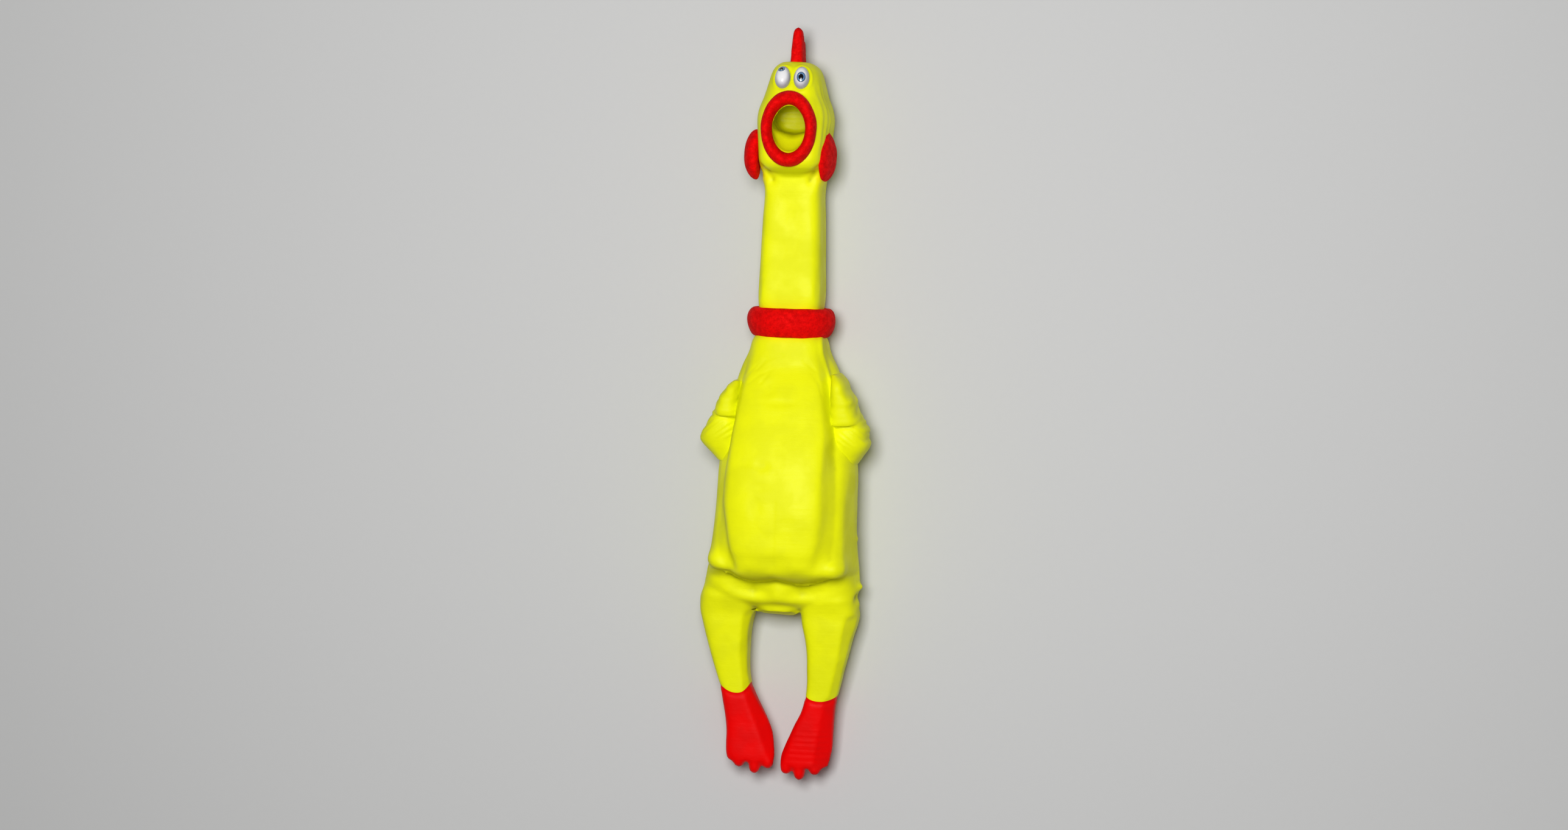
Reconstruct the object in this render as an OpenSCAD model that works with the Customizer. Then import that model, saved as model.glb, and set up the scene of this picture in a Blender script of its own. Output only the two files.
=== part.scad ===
// A hollow vinyl rubber chicken that screams when its belly is squeezed.
// It lies on its back: +Z is the way the belly faces, +Y runs to the head, and X is 0 on the mid-line.
// The origin is the middle of the flat patch that the back rests on, and left is the chicken's own left, +X.

/* [Skin and fits] */
// Thickness of the moulded vinyl skin
skin = 2; // [1.6:0.1:2.6]
// Gap round a piece that is fitted into or beside another
gap = 0.3; // [0.15:0.05:0.4]

/* [Torso] */
// Length from the hips to the root of the neck
torso_l = 124; // [104:1:150]
// Width across the hips
torso_w = 84; // [76:1:101]
// Depth from the back to the front of the belly
torso_d = 68; // [60:1:82]
// Width of the root of the neck
shoulder_w = 47; // [42:1:56]

/* [Neck] */
// Width of the neck
neck_w = 34; // [32:1:40]
// Depth of the neck, front to back
neck_d = 33; // [32:1:39]
// Length of the stiff part of the neck, which holds the squeaker
neck_l = 42; // [38:1:50]
// Length of each soft fold that lets the neck bend
fold_l = 15; // [13:1:18]
// Bore of the neck
bore_d = 25; // [23:0.5:26]

/* [Collar] */
// Height of the collar, along the neck
collar_h = 16; // [13:0.5:19]
// Outside diameter of the collar
collar_d = 47.5; // [44:0.5:56]
// Diameter of the round neck under the collar
groove_d = 31; // [29:0.5:31.5]
// Gap between the collar and the floor that the back lies on
collar_lift = 0.25; // [0.1:0.05:2]

/* [Head] */
// Width across the cheeks
head_w = 39.5; // [36:0.5:47]
// Length from the throat to the crown
head_l = 58.5; // [54:0.5:70]
// Height of the flat muzzle above the floor
muzzle_z = 54; // [50:0.5:62]
// Length of the soft throat under the jaw
throat_l = 13; // [12:1:16]
// Width of the mouth, inside the lips
mouth_w = 17.5; // [15:0.5:20]
// Height of the mouth, inside the lips
mouth_h = 24.3; // [20:0.1:26]
// Width of the lips beside the mouth
lip_side = 6; // [5:0.5:7]
// Width of the lips above and below the mouth
lip_end = 8.2; // [7:0.1:9]
// How far the lips stand out of the muzzle
lip_t = 6.5; // [5:0.5:8]

/* [Wattles and comb] */
// Diameter of a wattle
wattle_d = 27; // [22:0.5:30]
// Thickness of a wattle
wattle_t = 4.4; // [3.5:0.1:6]
// Height of the comb above the crown
comb_h = 18.5; // [15:0.5:23]
// Thickness of the comb
comb_t = 4.6; // [4:0.1:6]
// Length of the comb, front to back
comb_l = 23; // [19:1:25]
// Diameter of the pegs that hold the comb and the wattles
peg_d = 3.6; // [3:0.1:4]

/* [Eyes] */
// Width of an eye
eye_w = 8.3; // [7:0.1:9]
// Height of an eye
eye_h = 12.4; // [11:0.1:14]
// How far an eye stands out of the brow
eye_t = 4.2; // [3.5:0.1:5]
// Distance between the middles of the eyes
eye_pitch = 9.8; // [9.4:0.1:11.8]
// Diameter of an iris
iris_d = 4.4; // [3.8:0.1:5]
// Diameter of a pupil
pupil_d = 2.3; // [1.8:0.1:2.6]
// Diameter of the stem behind an eye
stem_d = 2.6; // [2:0.1:3]

/* [Wings] */
// Length of a folded wing
wing_l = 41; // [34:1:48]
// Thickness of a wing at the elbow
wing_t = 8; // [6:0.5:10]
// Depth of a wing, front to back
wing_d = 30; // [24:1:34]

/* [Legs] */
// Length of the stiff part of a leg
leg_l = 32; // [27:1:39]
// Width of a leg where it leaves the hip
thigh_w = 28.6; // [24:0.5:30]
// Width of a leg at the ankle
ankle_w = 16.8; // [14:0.1:19]
// Depth of a leg at the ankle
ankle_d = 15; // [13:0.5:18]
// Distance between the middles of the hips
hip_pitch = 53; // [52:0.5:56]
// Length of the soft hip
hip_l = 15; // [13:1:18]
// Length of the soft ankle
ankle_l = 9; // [8:0.5:11]
// Length of a foot, from the ankle to the tip of the longest toe
foot_l = 46.5; // [40:0.5:54]
// Width of a foot across the toes
foot_w = 24.6; // [21:0.1:25]
// Thickness of a foot at the toes
foot_t = 9; // [7.5:0.5:11]
// How much further the left leg reaches than the right one
leg_drop = 4; // [0:0.5:5]

/* [Squeaker] */
// Outside diameter of the squeaker's barrel
barrel_d = 18; // [16:0.5:19]
// Length of the barrel
barrel_l = 30; // [26:1:34]
// Wall of the barrel
barrel_wall = 1.4; // [1.2:0.1:1.6]
// Length of the bung that holds the barrel in the neck
bung_l = 12; // [10:1:14]
// Length of the reed
reed_l = 18; // [15:0.5:19]
// Width of the reed
reed_w = 5; // [4:0.5:6]
// Thickness of the reed
reed_t = 0.4; // [0.3:0.05:0.5]

/* [Hidden] */

yellow = [0.96, 0.96, 0.05];
red = [0.85, 0.02, 0.02];
left = 1;
right = -1;
sides = 36;
far = 400;

// ---------- Stations along the body ----------
neck_z = collar_d / 2 + collar_lift;
torso_bottom = -0.53 * torso_l;
torso_top = torso_bottom + torso_l;
collar_y = torso_top + fold_l;
collar_top = collar_y + collar_h;
neck_bottom = collar_top + fold_l;
neck_top = neck_bottom + neck_l;
head_bottom = neck_top + throat_l;
crown_y = head_bottom + head_l;
leg_top = torso_bottom - hip_l;

// ---------- Lofts ----------

function power(t, e) = sign(t) * pow(abs(t), e);

// An oval section at y, where square is 2 for an ellipse and more for a squarer section.
function oval(y, half_w, low, high, square = 2, x = 0, n = sides) = [
    for (i = [0 : n - 1])
        let (a = 360 * (i + 0.5) / n)
        [x + half_w * power(cos(a), 2 / square), y,
         (low + high) / 2 + (high - low) / 2 * power(sin(a), 2 / square)]
];

function slope(t, k) =
    let (a = max(k - 1, 0), b = min(k + 1, len(t) - 1))
    (t[b] - t[a]) / (t[b][0] - t[a][0]);

// The row of a table at u, on a smooth curve through its rows. Each row starts with its own u.
function row_at(t, u) =
    let (
        k = max([for (i = [0 : len(t) - 2]) if (i == 0 || u >= t[i][0]) i]),
        h = t[k + 1][0] - t[k][0],
        s = (u - t[k][0]) / h
    )
    (2 * s^3 - 3 * s^2 + 1) * t[k] + (s^3 - 2 * s^2 + s) * h * slope(t, k)
    + (3 * s^2 - 2 * s^3) * t[k + 1] + (s^3 - s^2) * h * slope(t, k + 1);

// Two triangles for the four corners a, b, c and d.
function quad(a, b, c, d) = [[a, b, c], [a, c, d]];

// A solid through sections that follow each other along +Y.
module loft(rings) {
    n = len(rings[0]);
    last = len(rings) - 1;
    polyhedron(
        points = [for (r = rings) each r],
        faces = [
            [for (i = [0 : n - 1]) n - 1 - i],
            [for (i = [0 : n - 1]) last * n + i],
            for (k = [0 : last - 1], i = [0 : n - 1])
                let (j = (i + 1) % n)
                each quad(k * n + i, k * n + j, (k + 1) * n + j, (k + 1) * n + i)
        ]
    );
}

// A wall between outer and inner sections, made of the cells that keep(k, i) chooses.
// The start or the end is closed by a floor, or left open.
module wall(outer, inner, keep = function (k, i) true, start = "open", end = "open") {
    n = len(outer[0]);
    m = len(outer);
    cells = m - 1;
    function at(k, i) = k * n + i % n;
    function in(k, i) = m * n + k * n + i % n;
    function kept(k, i) = k >= 0 && k < cells && keep(k, (i + n) % n);
    closed_start = start == "closed";
    closed_end = end == "closed";
    polyhedron(
        points = concat([for (r = outer) each r], [for (r = inner) each r]),
        faces = [
            for (k = [0 : cells - 1], i = [0 : n - 1]) if (kept(k, i)) each [
                each quad(at(k, i), at(k, i + 1), at(k + 1, i + 1), at(k + 1, i)),
                each quad(in(k + 1, i), in(k + 1, i + 1), in(k, i + 1), in(k, i)),
                if (!kept(k - 1, i) && !(k == 0 && closed_start))
                    each quad(at(k, i), in(k, i), in(k, i + 1), at(k, i + 1)),
                if (!kept(k + 1, i) && !(k == cells - 1 && closed_end))
                    each quad(at(k + 1, i), at(k + 1, i + 1), in(k + 1, i + 1), in(k + 1, i)),
                if (!kept(k, i + 1))
                    each quad(at(k + 1, i + 1), at(k, i + 1), in(k, i + 1), in(k + 1, i + 1)),
                if (!kept(k, i - 1))
                    each quad(at(k + 1, i), in(k + 1, i), in(k, i), at(k, i))
            ],
            if (closed_start) [for (i = [0 : n - 1]) at(0, n - 1 - i)],
            if (closed_start) [for (i = [0 : n - 1]) in(0, i)],
            if (closed_end) [for (i = [0 : n - 1]) at(m - 1, i)],
            if (closed_end) [for (i = [0 : n - 1]) in(m - 1, n - 1 - i)]
        ]
    );
}

// A cylinder along Y that starts at y.
module rod(y, d, l, fn = 64) {
    translate([0, y, neck_z])
        rotate([-90, 0, 0])
        cylinder(d = d, h = l, $fn = fn);
}

// ---------- Torso ----------

root_half = shoulder_w / 2;
root_deep = shoulder_w * 0.43;
torso_square = 2.6;
torso_steps = 24;

// Share of the length, half width, lowest and highest z.
torso_rows = [
    [0.00, torso_w * 0.495, torso_d * 0.11, torso_d * 0.60],
    [0.06, torso_w * 0.500, torso_d * 0.05, torso_d * 0.77],
    [0.14, torso_w * 0.485, torso_d * 0.01, torso_d * 0.92],
    [0.27, torso_w * 0.460, -0.9, torso_d * 0.99],
    [0.40, torso_w * 0.452, -0.9, torso_d],
    [0.56, torso_w * 0.450, -0.9, torso_d * 0.96],
    [0.72, torso_w * 0.425, torso_d * 0.005, torso_d * 0.88],
    [0.86, torso_w * 0.370, torso_d * 0.035, torso_d * 0.78],
    [1.00, root_half, neck_z - root_deep, neck_z + root_deep]
];

function torso_y(k) = torso_bottom + torso_l * k / torso_steps;
function torso_row(y) = row_at(torso_rows, (y - torso_bottom) / torso_l);

torso_outer = [
    for (k = [0 : torso_steps])
        let (y = torso_y(k), r = torso_row(y))
        oval(y, r[1], r[2], r[3], torso_square)
];
torso_inner = [
    for (k = [0 : torso_steps])
        let (y = max(torso_y(k), torso_bottom + skin), r = torso_row(y))
        oval(y, r[1] - skin, max(r[2], 0) + skin, r[3] - skin, torso_square)
];

// Cells of the grid that the soft front of the torso covers, and those of the stiffer belly inside it.
function in_front(k, i) = k >= 3 && k < 20 && i >= 1 && i <= 15;
function in_belly(k, i) = k >= 5 && k < 18 && i >= 4 && i <= 12;

module back_shell() color(yellow)
    difference() {
        wall(torso_outer, torso_inner, function (k, i) !in_front(k, i), start = "closed");
        translate([-far / 2, -far / 2, -far])
            cube([far, far, far]);
    }

module belly_shell() color(yellow)
    wall(torso_outer, torso_inner, function (k, i) in_belly(k, i));

module flank_skin() color(yellow)
    wall(torso_outer, torso_inner, function (k, i) in_front(k, i) && !in_belly(k, i));

tail_l = 9;
tail_square = 2.2;

// Half width, lowest and highest z at s, from the tip at 0 to the torso at 1.
function tail_row(s) = [3 + 7.5 * sqrt(s), neck_z - 3 - 7 * s, neck_z - 1 + 9 * s];

module tail_nub() color(yellow)
    loft([
        for (s = [0, 0.35, 0.7, 1])
            let (r = tail_row(s))
            oval(torso_bottom - tail_l * (1 - s), r[0], r[1], r[2], tail_square, n = 20)
    ]);

// ---------- Neck ----------

neck_square = 3.2;
collar_seat = groove_d / 2 + 3.5;

function between(a, b, s) = a + (b - a) * s;

// Narrows from the top of the torso to the face that the collar sits on.
module neck_root_skin() color(yellow)
    wall(
        [for (s = [0 : 0.25 : 1])
            let (half = between(root_half, collar_seat, s), deep = between(root_deep, collar_seat, s))
            oval(torso_top + fold_l * s, half, neck_z - deep, neck_z + deep, between(torso_square, 2.2, s))],
        [for (s = [0 : 0.25 : 1])
            let (
                half = between(root_half - skin, bore_d / 2, s),
                deep = between(root_deep - skin, bore_d / 2, s)
            )
            oval(torso_top + fold_l * s, half, neck_z - deep, neck_z + deep, between(torso_square, 2, s))]
    );

module neck_ring() color(yellow)
    difference() {
        rod(collar_y, groove_d, collar_h);
        rod(collar_y - 1, bore_d, collar_h + 2);
    }

// A round ring that is flat inside, where it sits on the neck.
module collar() color(red)
    translate([0, collar_y + collar_h / 2, neck_z])
    rotate([-90, 0, 0])
    rotate_extrude($fn = 96)
    intersection() {
        translate([groove_d / 2 + gap, 0])
            scale([(collar_d - groove_d) / collar_h - 2 * gap / collar_h, 1])
            circle(d = collar_h, $fn = 64);
        translate([groove_d / 2 + gap, -collar_h])
            square([far, 2 * collar_h]);
    }

function neck_oval(y, square = neck_square) =
    oval(y, neck_w / 2, neck_z - neck_d / 2, neck_z + neck_d / 2, square);
function bore_oval(y) = oval(y, bore_d / 2, neck_z - bore_d / 2, neck_z + bore_d / 2);

module neck_fold_skin() color(yellow)
    wall(
        [for (s = [0 : 0.25 : 1]) neck_oval(collar_top + fold_l * s)],
        [for (s = [0 : 0.25 : 1]) bore_oval(collar_top + fold_l * s)]
    );

module neck_tube() color(yellow)
    difference() {
        loft([for (s = [0 : 0.25 : 1]) neck_oval(neck_bottom + neck_l * s)]);
        rod(neck_bottom - 1, bore_d, neck_l + 2, 96);
    }

// ---------- Head ----------

head_square = 2.8;
head_steps = 16;
muzzle_y = head_bottom + 0.405 * head_l;
brow_tilt = 22;
brow_y = head_bottom + 0.86 * head_l;
brow_z = muzzle_z - 7;
eye_rim = 1;

// Share of the length, half width, lowest and highest z.
head_rows = [
    [0.00, head_w * 0.415, neck_z - neck_d * 0.52, neck_z + neck_d * 0.56],
    [0.12, head_w * 0.455, neck_z - neck_d * 0.60, muzzle_z - 1],
    [0.30, head_w * 0.490, neck_z - neck_d * 0.66, muzzle_z + 2],
    [0.48, head_w * 0.500, neck_z - neck_d * 0.67, muzzle_z + 2.5],
    [0.64, head_w * 0.470, neck_z - neck_d * 0.65, muzzle_z + 1],
    [0.76, head_w * 0.385, neck_z - neck_d * 0.60, muzzle_z - 2.5],
    [0.88, head_w * 0.345, neck_z - neck_d * 0.50, muzzle_z - 6],
    [0.96, head_w * 0.300, neck_z - neck_d * 0.38, muzzle_z - 10],
    [1.00, head_w * 0.240, neck_z - neck_d * 0.25, muzzle_z - 14]
];
function head_y(k) = head_bottom + head_l * k / head_steps;
function head_row(y) = row_at(head_rows, (y - head_bottom) / head_l);
function brow_limit(y) = brow_z - (y - brow_y) * tan(brow_tilt);

head_outer = [
    for (k = [0 : head_steps])
        let (y = head_y(k), r = head_row(y))
        oval(y, r[1], r[2], r[3], head_square)
];
head_inner = [
    for (k = [0 : head_steps])
        let (y = min(head_y(k), crown_y - skin), r = head_row(y))
        oval(y, r[1] - skin, r[2] + skin, min(r[3], muzzle_z, brow_limit(y)) - skin, head_square)
];

module ellipse(w, h) {
    polygon([for (a = [0 : 10 : 350]) [w / 2 * cos(a), h / 2 * sin(a)]]);
}

// Everything in front of the muzzle and of the brow is cut away, for the lips and the eyes to sit flat.
module face_planes() {
    translate([-far / 2, head_bottom - far / 2, muzzle_z])
        cube([far, far, far]);
    translate([0, brow_y, brow_z])
        rotate([-brow_tilt, 0, 0])
        translate([-far / 2, -eye_h / 2 - eye_rim, 0])
        cube([far, far, far]);
}

wattle_y = head_bottom + 0.17 * head_l;
wattle_z = muzzle_z - 17;
wattle_x = head_w / 2 + gap;
comb_z = neck_z - 2;
peg_l = skin + 1.5;
hole_l = 8;

module head_shell() color(yellow)
    difference() {
        wall(head_outer, head_inner, end = "closed");
        face_planes();
        translate([0, muzzle_y, muzzle_z - 4 * skin])
            linear_extrude(8 * skin)
            ellipse(mouth_w, mouth_h);
        for (side = [left, right]) {
            on_brow(side)
                translate([0, 0, -hole_l])
                cylinder(d = stem_d + 2 * gap, h = 2 * hole_l, $fn = 32);
            translate([side * wattle_x, wattle_y, wattle_z])
                rotate([0, -side * 90, 0])
                cylinder(d = peg_d + 2 * gap, h = hole_l, $fn = 32);
        }
        translate([0, crown_y - hole_l, comb_z])
            rotate([-90, 0, 0])
            cylinder(d = peg_d + 2 * gap, h = 2 * hole_l, $fn = 32);
    }

// A point of the lips: a is the turn round the mouth, and c the turn round the lip's own section.
function lip_point(a, c) =
    let (fat = lip_side + (lip_end - lip_side) * sin(a)^2, out = fat / 2 * (1 + cos(c)))
    [(mouth_w / 2 + out) * cos(a), muzzle_y + (mouth_h / 2 + out) * sin(a), muzzle_z + lip_t * sin(c)];

// A ring of lips with a flat back, thicker above and below the mouth.
module lip_ring() color(red) {
    steps = 40;
    half = 8;
    n = half + 1;
    polyhedron(
        points = [for (s = [0 : steps - 1], c = [0 : half]) lip_point(360 * s / steps, 180 * c / half)],
        faces = [
            for (s = [0 : steps - 1], c = [0 : half])
                let (t = (s + 1) % steps, d = (c + 1) % n)
                each quad(s * n + c, s * n + d, t * n + d, t * n + c)
        ]
    );
}

// A flat-backed lens that faces outwards, on a peg that runs into the cheek.
module wattle(side) color(red)
    translate([side * wattle_x, wattle_y, wattle_z])
    rotate([0, side * 90, 0]) {
        r = (wattle_d^2 / 4 + wattle_t^2) / (2 * wattle_t);
        intersection() {
            translate([0, 0, wattle_t - r])
                sphere(r = r, $fn = 96);
            cylinder(d = wattle_d, h = wattle_t + 1, $fn = 96);
        }
        translate([0, 0, -peg_l])
            cylinder(d = peg_d, h = peg_l + 1, $fn = 32);
    }

module left_wattle() wattle(left);
module right_wattle() wattle(right);

// A fin with three rounded points, on a peg that runs into the crown.
module comb() color(red) {
    points = [[-0.30, 0.62], [0.02, 0.84], [0.30, 1]];
    tip_r = comb_l * 0.13;
    translate([0, crown_y + gap, comb_z])
        rotate([90, 0, 90])
        translate([0, 0, -comb_t / 2])
        linear_extrude(comb_t)
        union() {
            for (p = points)
                hull() {
                    translate([p[1] * comb_h - tip_r, p[0] * comb_l])
                        circle(r = tip_r, $fn = 32);
                    translate([0, (p[0] - 0.15) * comb_l])
                        square([0.5, comb_l * 0.36]);
                }
        }
    translate([0, crown_y - peg_l, comb_z])
        rotate([-90, 0, 0])
        cylinder(d = peg_d, h = peg_l + gap + 1, $fn = 32);
}

// ---------- Eyes ----------

module on_brow(side) {
    translate([0, brow_y, brow_z])
        rotate([-brow_tilt, 0, 0])
        translate([side * eye_pitch / 2, 0, 0])
        children();
}

// Where each eye looks: across and up, as shares of its half width and half height.
look = [[0.05, -0.10], [-0.12, 0.62]];
iris_t = 0.6;
pupil_t = 0.3;
stem_l = skin + 4.6;

// Puts children on an eye's dome, at the point that the eye looks through, with +Z outwards.
module on_dome(side) {
    l = side == left ? look[0] : look[1];
    z = sqrt(1 - l[0]^2 - l[1]^2);
    on_brow(side)
        translate([l[0] * eye_w / 2, l[1] * eye_h / 2, z * eye_t])
        rotate([-atan2(l[1] / eye_h * 2, z / eye_t), atan2(l[0] / eye_w * 2, z / eye_t), 0])
        children();
}

module eye(side) color("white")
    difference() {
        on_brow(side) {
            intersection() {
                scale([eye_w / 2, eye_h / 2, eye_t])
                    sphere(r = 1, $fn = 64);
                translate([-far / 2, -far / 2, 0])
                    cube([far, far, far]);
            }
            translate([0, 0, -stem_l])
                cylinder(d = stem_d, h = stem_l + 1, $fn = 32);
        }
        on_dome(side)
            translate([0, 0, -iris_t])
            cylinder(d = iris_d, h = 4, $fn = 48);
    }

module left_eye() eye(left);
module right_eye() eye(right);

module iris(side) color("steelblue")
    on_dome(side)
    translate([0, 0, -iris_t])
    difference() {
        cylinder(d = iris_d - gap / 3, h = iris_t, $fn = 48);
        translate([0, 0, iris_t - pupil_t])
            cylinder(d = pupil_d, h = 1, $fn = 32);
    }

module left_iris() iris(left);
module right_iris() iris(right);

module pupil(side) color("black")
    on_dome(side)
    translate([0, 0, -pupil_t])
    cylinder(d = pupil_d - gap / 3, h = pupil_t, $fn = 32);

module left_pupil() pupil(left);
module right_pupil() pupil(right);

// Locking washers on the stems, inside the brow.
module eye_washers() color("gainsboro")
    for (side = [left, right])
        on_brow(side)
            translate([0, 0, -stem_l + 0.6])
            difference() {
                cylinder(d = stem_d + 3, h = 1, $fn = 48);
                translate([0, 0, -1])
                    cylinder(d = stem_d + gap / 2, h = 3, $fn = 32);
            }

module throat_skin() color(yellow) {
    row = head_row(head_bottom);
    wall(
        [for (s = [0 : 0.25 : 1])
            let (
                half = between(neck_w / 2, row[1], s),
                low = between(neck_z - neck_d / 2, row[2], s),
                high = between(neck_z + neck_d / 2, row[3], s)
            )
            oval(neck_top + throat_l * s, half, low, high, between(neck_square, head_square, s))],
        [for (s = [0 : 0.25 : 1])
            let (
                half = between(bore_d / 2, row[1] - skin, s),
                low = between(neck_z - bore_d / 2, row[2] + skin, s),
                high = between(neck_z + bore_d / 2, row[3] - skin, s)
            )
            oval(neck_top + throat_l * s, half, low, high, between(2, head_square, s))]
    );
}

// ---------- Wings ----------

wing_top = torso_bottom + torso_l * 0.92;

// Share of the length down the wing, share of the thickness, and share of the depth.
wing_rows = [
    [0.00, 0.50, 0.60],
    [0.25, 0.62, 0.85],
    [0.48, 0.68, 0.95],
    [0.64, 0.92, 1.00],
    [0.78, 1.00, 0.96],
    [0.90, 0.68, 0.80],
    [1.00, 0.25, 0.45]
];
wing_z = torso_d * 0.46;
wing_gap = gap + 0.3;
wing_square = 2.4;

module wing(side) color(yellow)
    loft([
        for (k = [12 : -1 : 0])
            let (
                f = k / 12,
                y = wing_top - wing_l * f,
                r = row_at(wing_rows, f),
                inner_x = torso_row(y)[1] + wing_gap,
                t = wing_t * r[1],
                half_d = wing_d * r[2] / 2
            )
            oval(y, t / 2, wing_z - half_d, wing_z + half_d, wing_square, side * (inner_x + t / 2), 24)
    ]);

module left_wing() wing(left);
module right_wing() wing(right);

wing_root_l = 6;
root_bite = 1.2;

// The soft root that joins the top of a wing to the torso.
module wing_root(side) color(yellow)
    loft([
        for (s = [0 : 0.25 : 1])
            let (
                y = wing_top + wing_root_l * s,
                inner_x = torso_row(y)[1] - root_bite,
                t = wing_t * 0.5 * (1 - s * 0.7) + root_bite + wing_gap,
                half_d = wing_d * (0.3 - 0.1 * s)
            )
            oval(y, t / 2, wing_z - half_d, wing_z + half_d, wing_square, side * (inner_x + t / 2), 20)
    ]);

module left_wing_root() wing_root(left);
module right_wing_root() wing_root(right);

// ---------- Legs ----------

leg_square = 2.6;
leg_z = neck_z - 2;
thigh_d = torso_d * 0.44;

function drop(side) = side == left ? leg_drop : 0;

// Half width, half depth and distance from the mid-line at s, from the hip at 0 to the ankle at 1.
function leg_row(s) = row_at([
    [0.0, thigh_w / 2, thigh_d / 2, hip_pitch / 2],
    [0.3, thigh_w / 2 * 0.87, thigh_d / 2 * 0.90, hip_pitch / 2 - 0.3],
    [0.7, ankle_w / 2 * 1.20, ankle_d / 2 * 1.25, hip_pitch / 2 - 1.8],
    [1.0, ankle_w / 2, ankle_d / 2, hip_pitch / 2 - 3]
], s);

function leg_oval(side, y, r, thin = 0) =
    oval(y, r[1] - thin, leg_z - r[2] + thin, leg_z + r[2] - thin, leg_square, side * r[3], 28);

function hip_share() = hip_l / (hip_l + leg_l);

module hip_skin(side) color(yellow) {
    steps = [for (s = [0 : 0.25 : 1]) [torso_bottom - hip_l * (1 - s), leg_row(hip_share() * (1 - s))]];
    wall([for (t = steps) leg_oval(side, t[0], t[1])], [for (t = steps) leg_oval(side, t[0], t[1], skin)]);
}

module left_hip_skin() hip_skin(left);
module right_hip_skin() hip_skin(right);

module leg(side) color(yellow) {
    l = leg_l + drop(side);
    steps = [for (s = [0 : 0.125 : 1]) [leg_top - l * (1 - s), leg_row(1 - (1 - hip_share()) * s)]];
    wall([for (t = steps) leg_oval(side, t[0], t[1])], [for (t = steps) leg_oval(side, t[0], t[1], skin)]);
}

module left_leg() leg(left);
module right_leg() leg(right);

function ankle_top(side) = leg_top - leg_l - drop(side);
function foot_top(side) = ankle_top(side) - ankle_l;

module ankle_skin(side) color(red) {
    r = leg_row(1);
    steps = [for (s = [0 : 0.25 : 1]) foot_top(side) + ankle_l * s];
    wall([for (y = steps) leg_oval(side, y, r)], [for (y = steps) leg_oval(side, y, r, skin)]);
}

module left_ankle_skin() ankle_skin(left);
module right_ankle_skin() ankle_skin(right);

web_l = foot_l - ankle_l;
toe_l = 6;

// Half width, half depth and distance from the mid-line at s, from the ankle at 0 to the web at 1.
function foot_row(s) = row_at([
    [0.0, ankle_w / 2, ankle_d / 2, hip_pitch / 2 - 3],
    [0.4, ankle_w / 2 * 1.12, ankle_d / 2 * 0.9, hip_pitch / 2 - 4.5],
    [0.8, foot_w / 2 * 0.97, foot_t / 2 * 1.1, hip_pitch / 2 - 9.5],
    [1.0, foot_w / 2, foot_t / 2, hip_pitch / 2 - 11.8]
], s);

// A flat webbed foot with three short toes, of which the middle one is the longest.
module foot(side) color(red) {
    l = web_l - toe_l;
    web_y = foot_top(side) - l;
    tip = foot_row(1);
    union() {
        loft([for (s = [0 : 0.125 : 1])
            let (r = foot_row(1 - s))
            leg_oval(side, web_y + l * s, r)]);
        for (toe = [-1, 0, 1])
            hull()
                for (end = [0, 1])
                    translate([
                        side * tip[3] + toe * (tip[1] - foot_t * 0.45),
                        web_y + 2 - end * (toe_l + 2 - foot_t * 0.36 - (toe == 0 ? 0 : 1.5)),
                        leg_z
                    ])
                    sphere(r = foot_t * (0.45 - end * 0.09), $fn = 20);
    }
}

module left_foot() foot(left);
module right_foot() foot(right);

// ---------- Squeaker ----------

// Where the barrel starts in the neck, and where the bung starts on the barrel.
barrel_inset = 6;
bung_inset = 4;
barrel_y = neck_bottom + barrel_inset;
bung_y = barrel_y + bung_inset;
press = 0.05;

module squeaker_bung() color("dimgray")
    difference() {
        rod(bung_y, bore_d - 2 * press, bung_l, 96);
        rod(bung_y - 1, barrel_d + 2 * press, bung_l + 2, 96);
    }

module squeaker_barrel() color("ivory")
    difference() {
        rod(barrel_y, barrel_d, barrel_l, 96);
        rod(barrel_y - 1, barrel_d - 2 * barrel_wall, barrel_l + 2, 96);
    }

cap_t = 2;
vent_d = 2.4;
vent_ring = 4.5;

module squeaker_cap() color("ivory")
    difference() {
        union() {
            rod(barrel_y - cap_t, barrel_d, cap_t, 96);
            rod(barrel_y, barrel_d - 2 * barrel_wall - 2 * press, cap_t, 96);
        }
        for (a = [0 : 60 : 300])
            translate([vent_ring * cos(a), 0, vent_ring * sin(a)])
                rod(barrel_y - cap_t - 1, vent_d, 2 * cap_t + 2, 24);
    }

block_y = barrel_y + cap_t + 2;
block_d = barrel_d - 2 * barrel_wall - 2 * press;
root_l = 4;
ledge = 0.6;
channel_d = 3;
reed_gap = 0.4;

// A round plug with an air channel that the reed lies over.
module reed_block() color("orange")
    difference() {
        rod(block_y, block_d, root_l + reed_l, 96);
        translate([-block_d, block_y + root_l, neck_z])
            cube([2 * block_d, far, block_d]);
        translate([-reed_w / 2 + ledge, block_y + root_l, neck_z - channel_d])
            cube([reed_w - 2 * ledge, far, 2 * channel_d]);
        translate([-reed_w / 2 - gap, block_y - 1, neck_z])
            cube([reed_w + 2 * gap, far, 2 * reed_gap + reed_t]);
    }

module reed() color("gold")
    translate([-reed_w / 2, block_y + 1, neck_z + reed_gap])
    cube([reed_w, reed_l, reed_t]);

// ---------- The nodes ----------

back_shell();
belly_shell();
flank_skin();
tail_nub();
left_wing_root();
right_wing_root();
left_hip_skin();
right_hip_skin();
neck_root_skin();
neck_ring();
collar();
neck_fold_skin();
neck_tube();
throat_skin();
squeaker_bung();
squeaker_barrel();
squeaker_cap();
reed_block();
reed();
head_shell();
lip_ring();
left_wattle();
right_wattle();
comb();
left_eye();
right_eye();
left_iris();
right_iris();
left_pupil();
right_pupil();
eye_washers();
left_wing();
right_wing();
left_leg();
right_leg();
left_ankle_skin();
right_ankle_skin();
left_foot();
right_foot();
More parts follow.
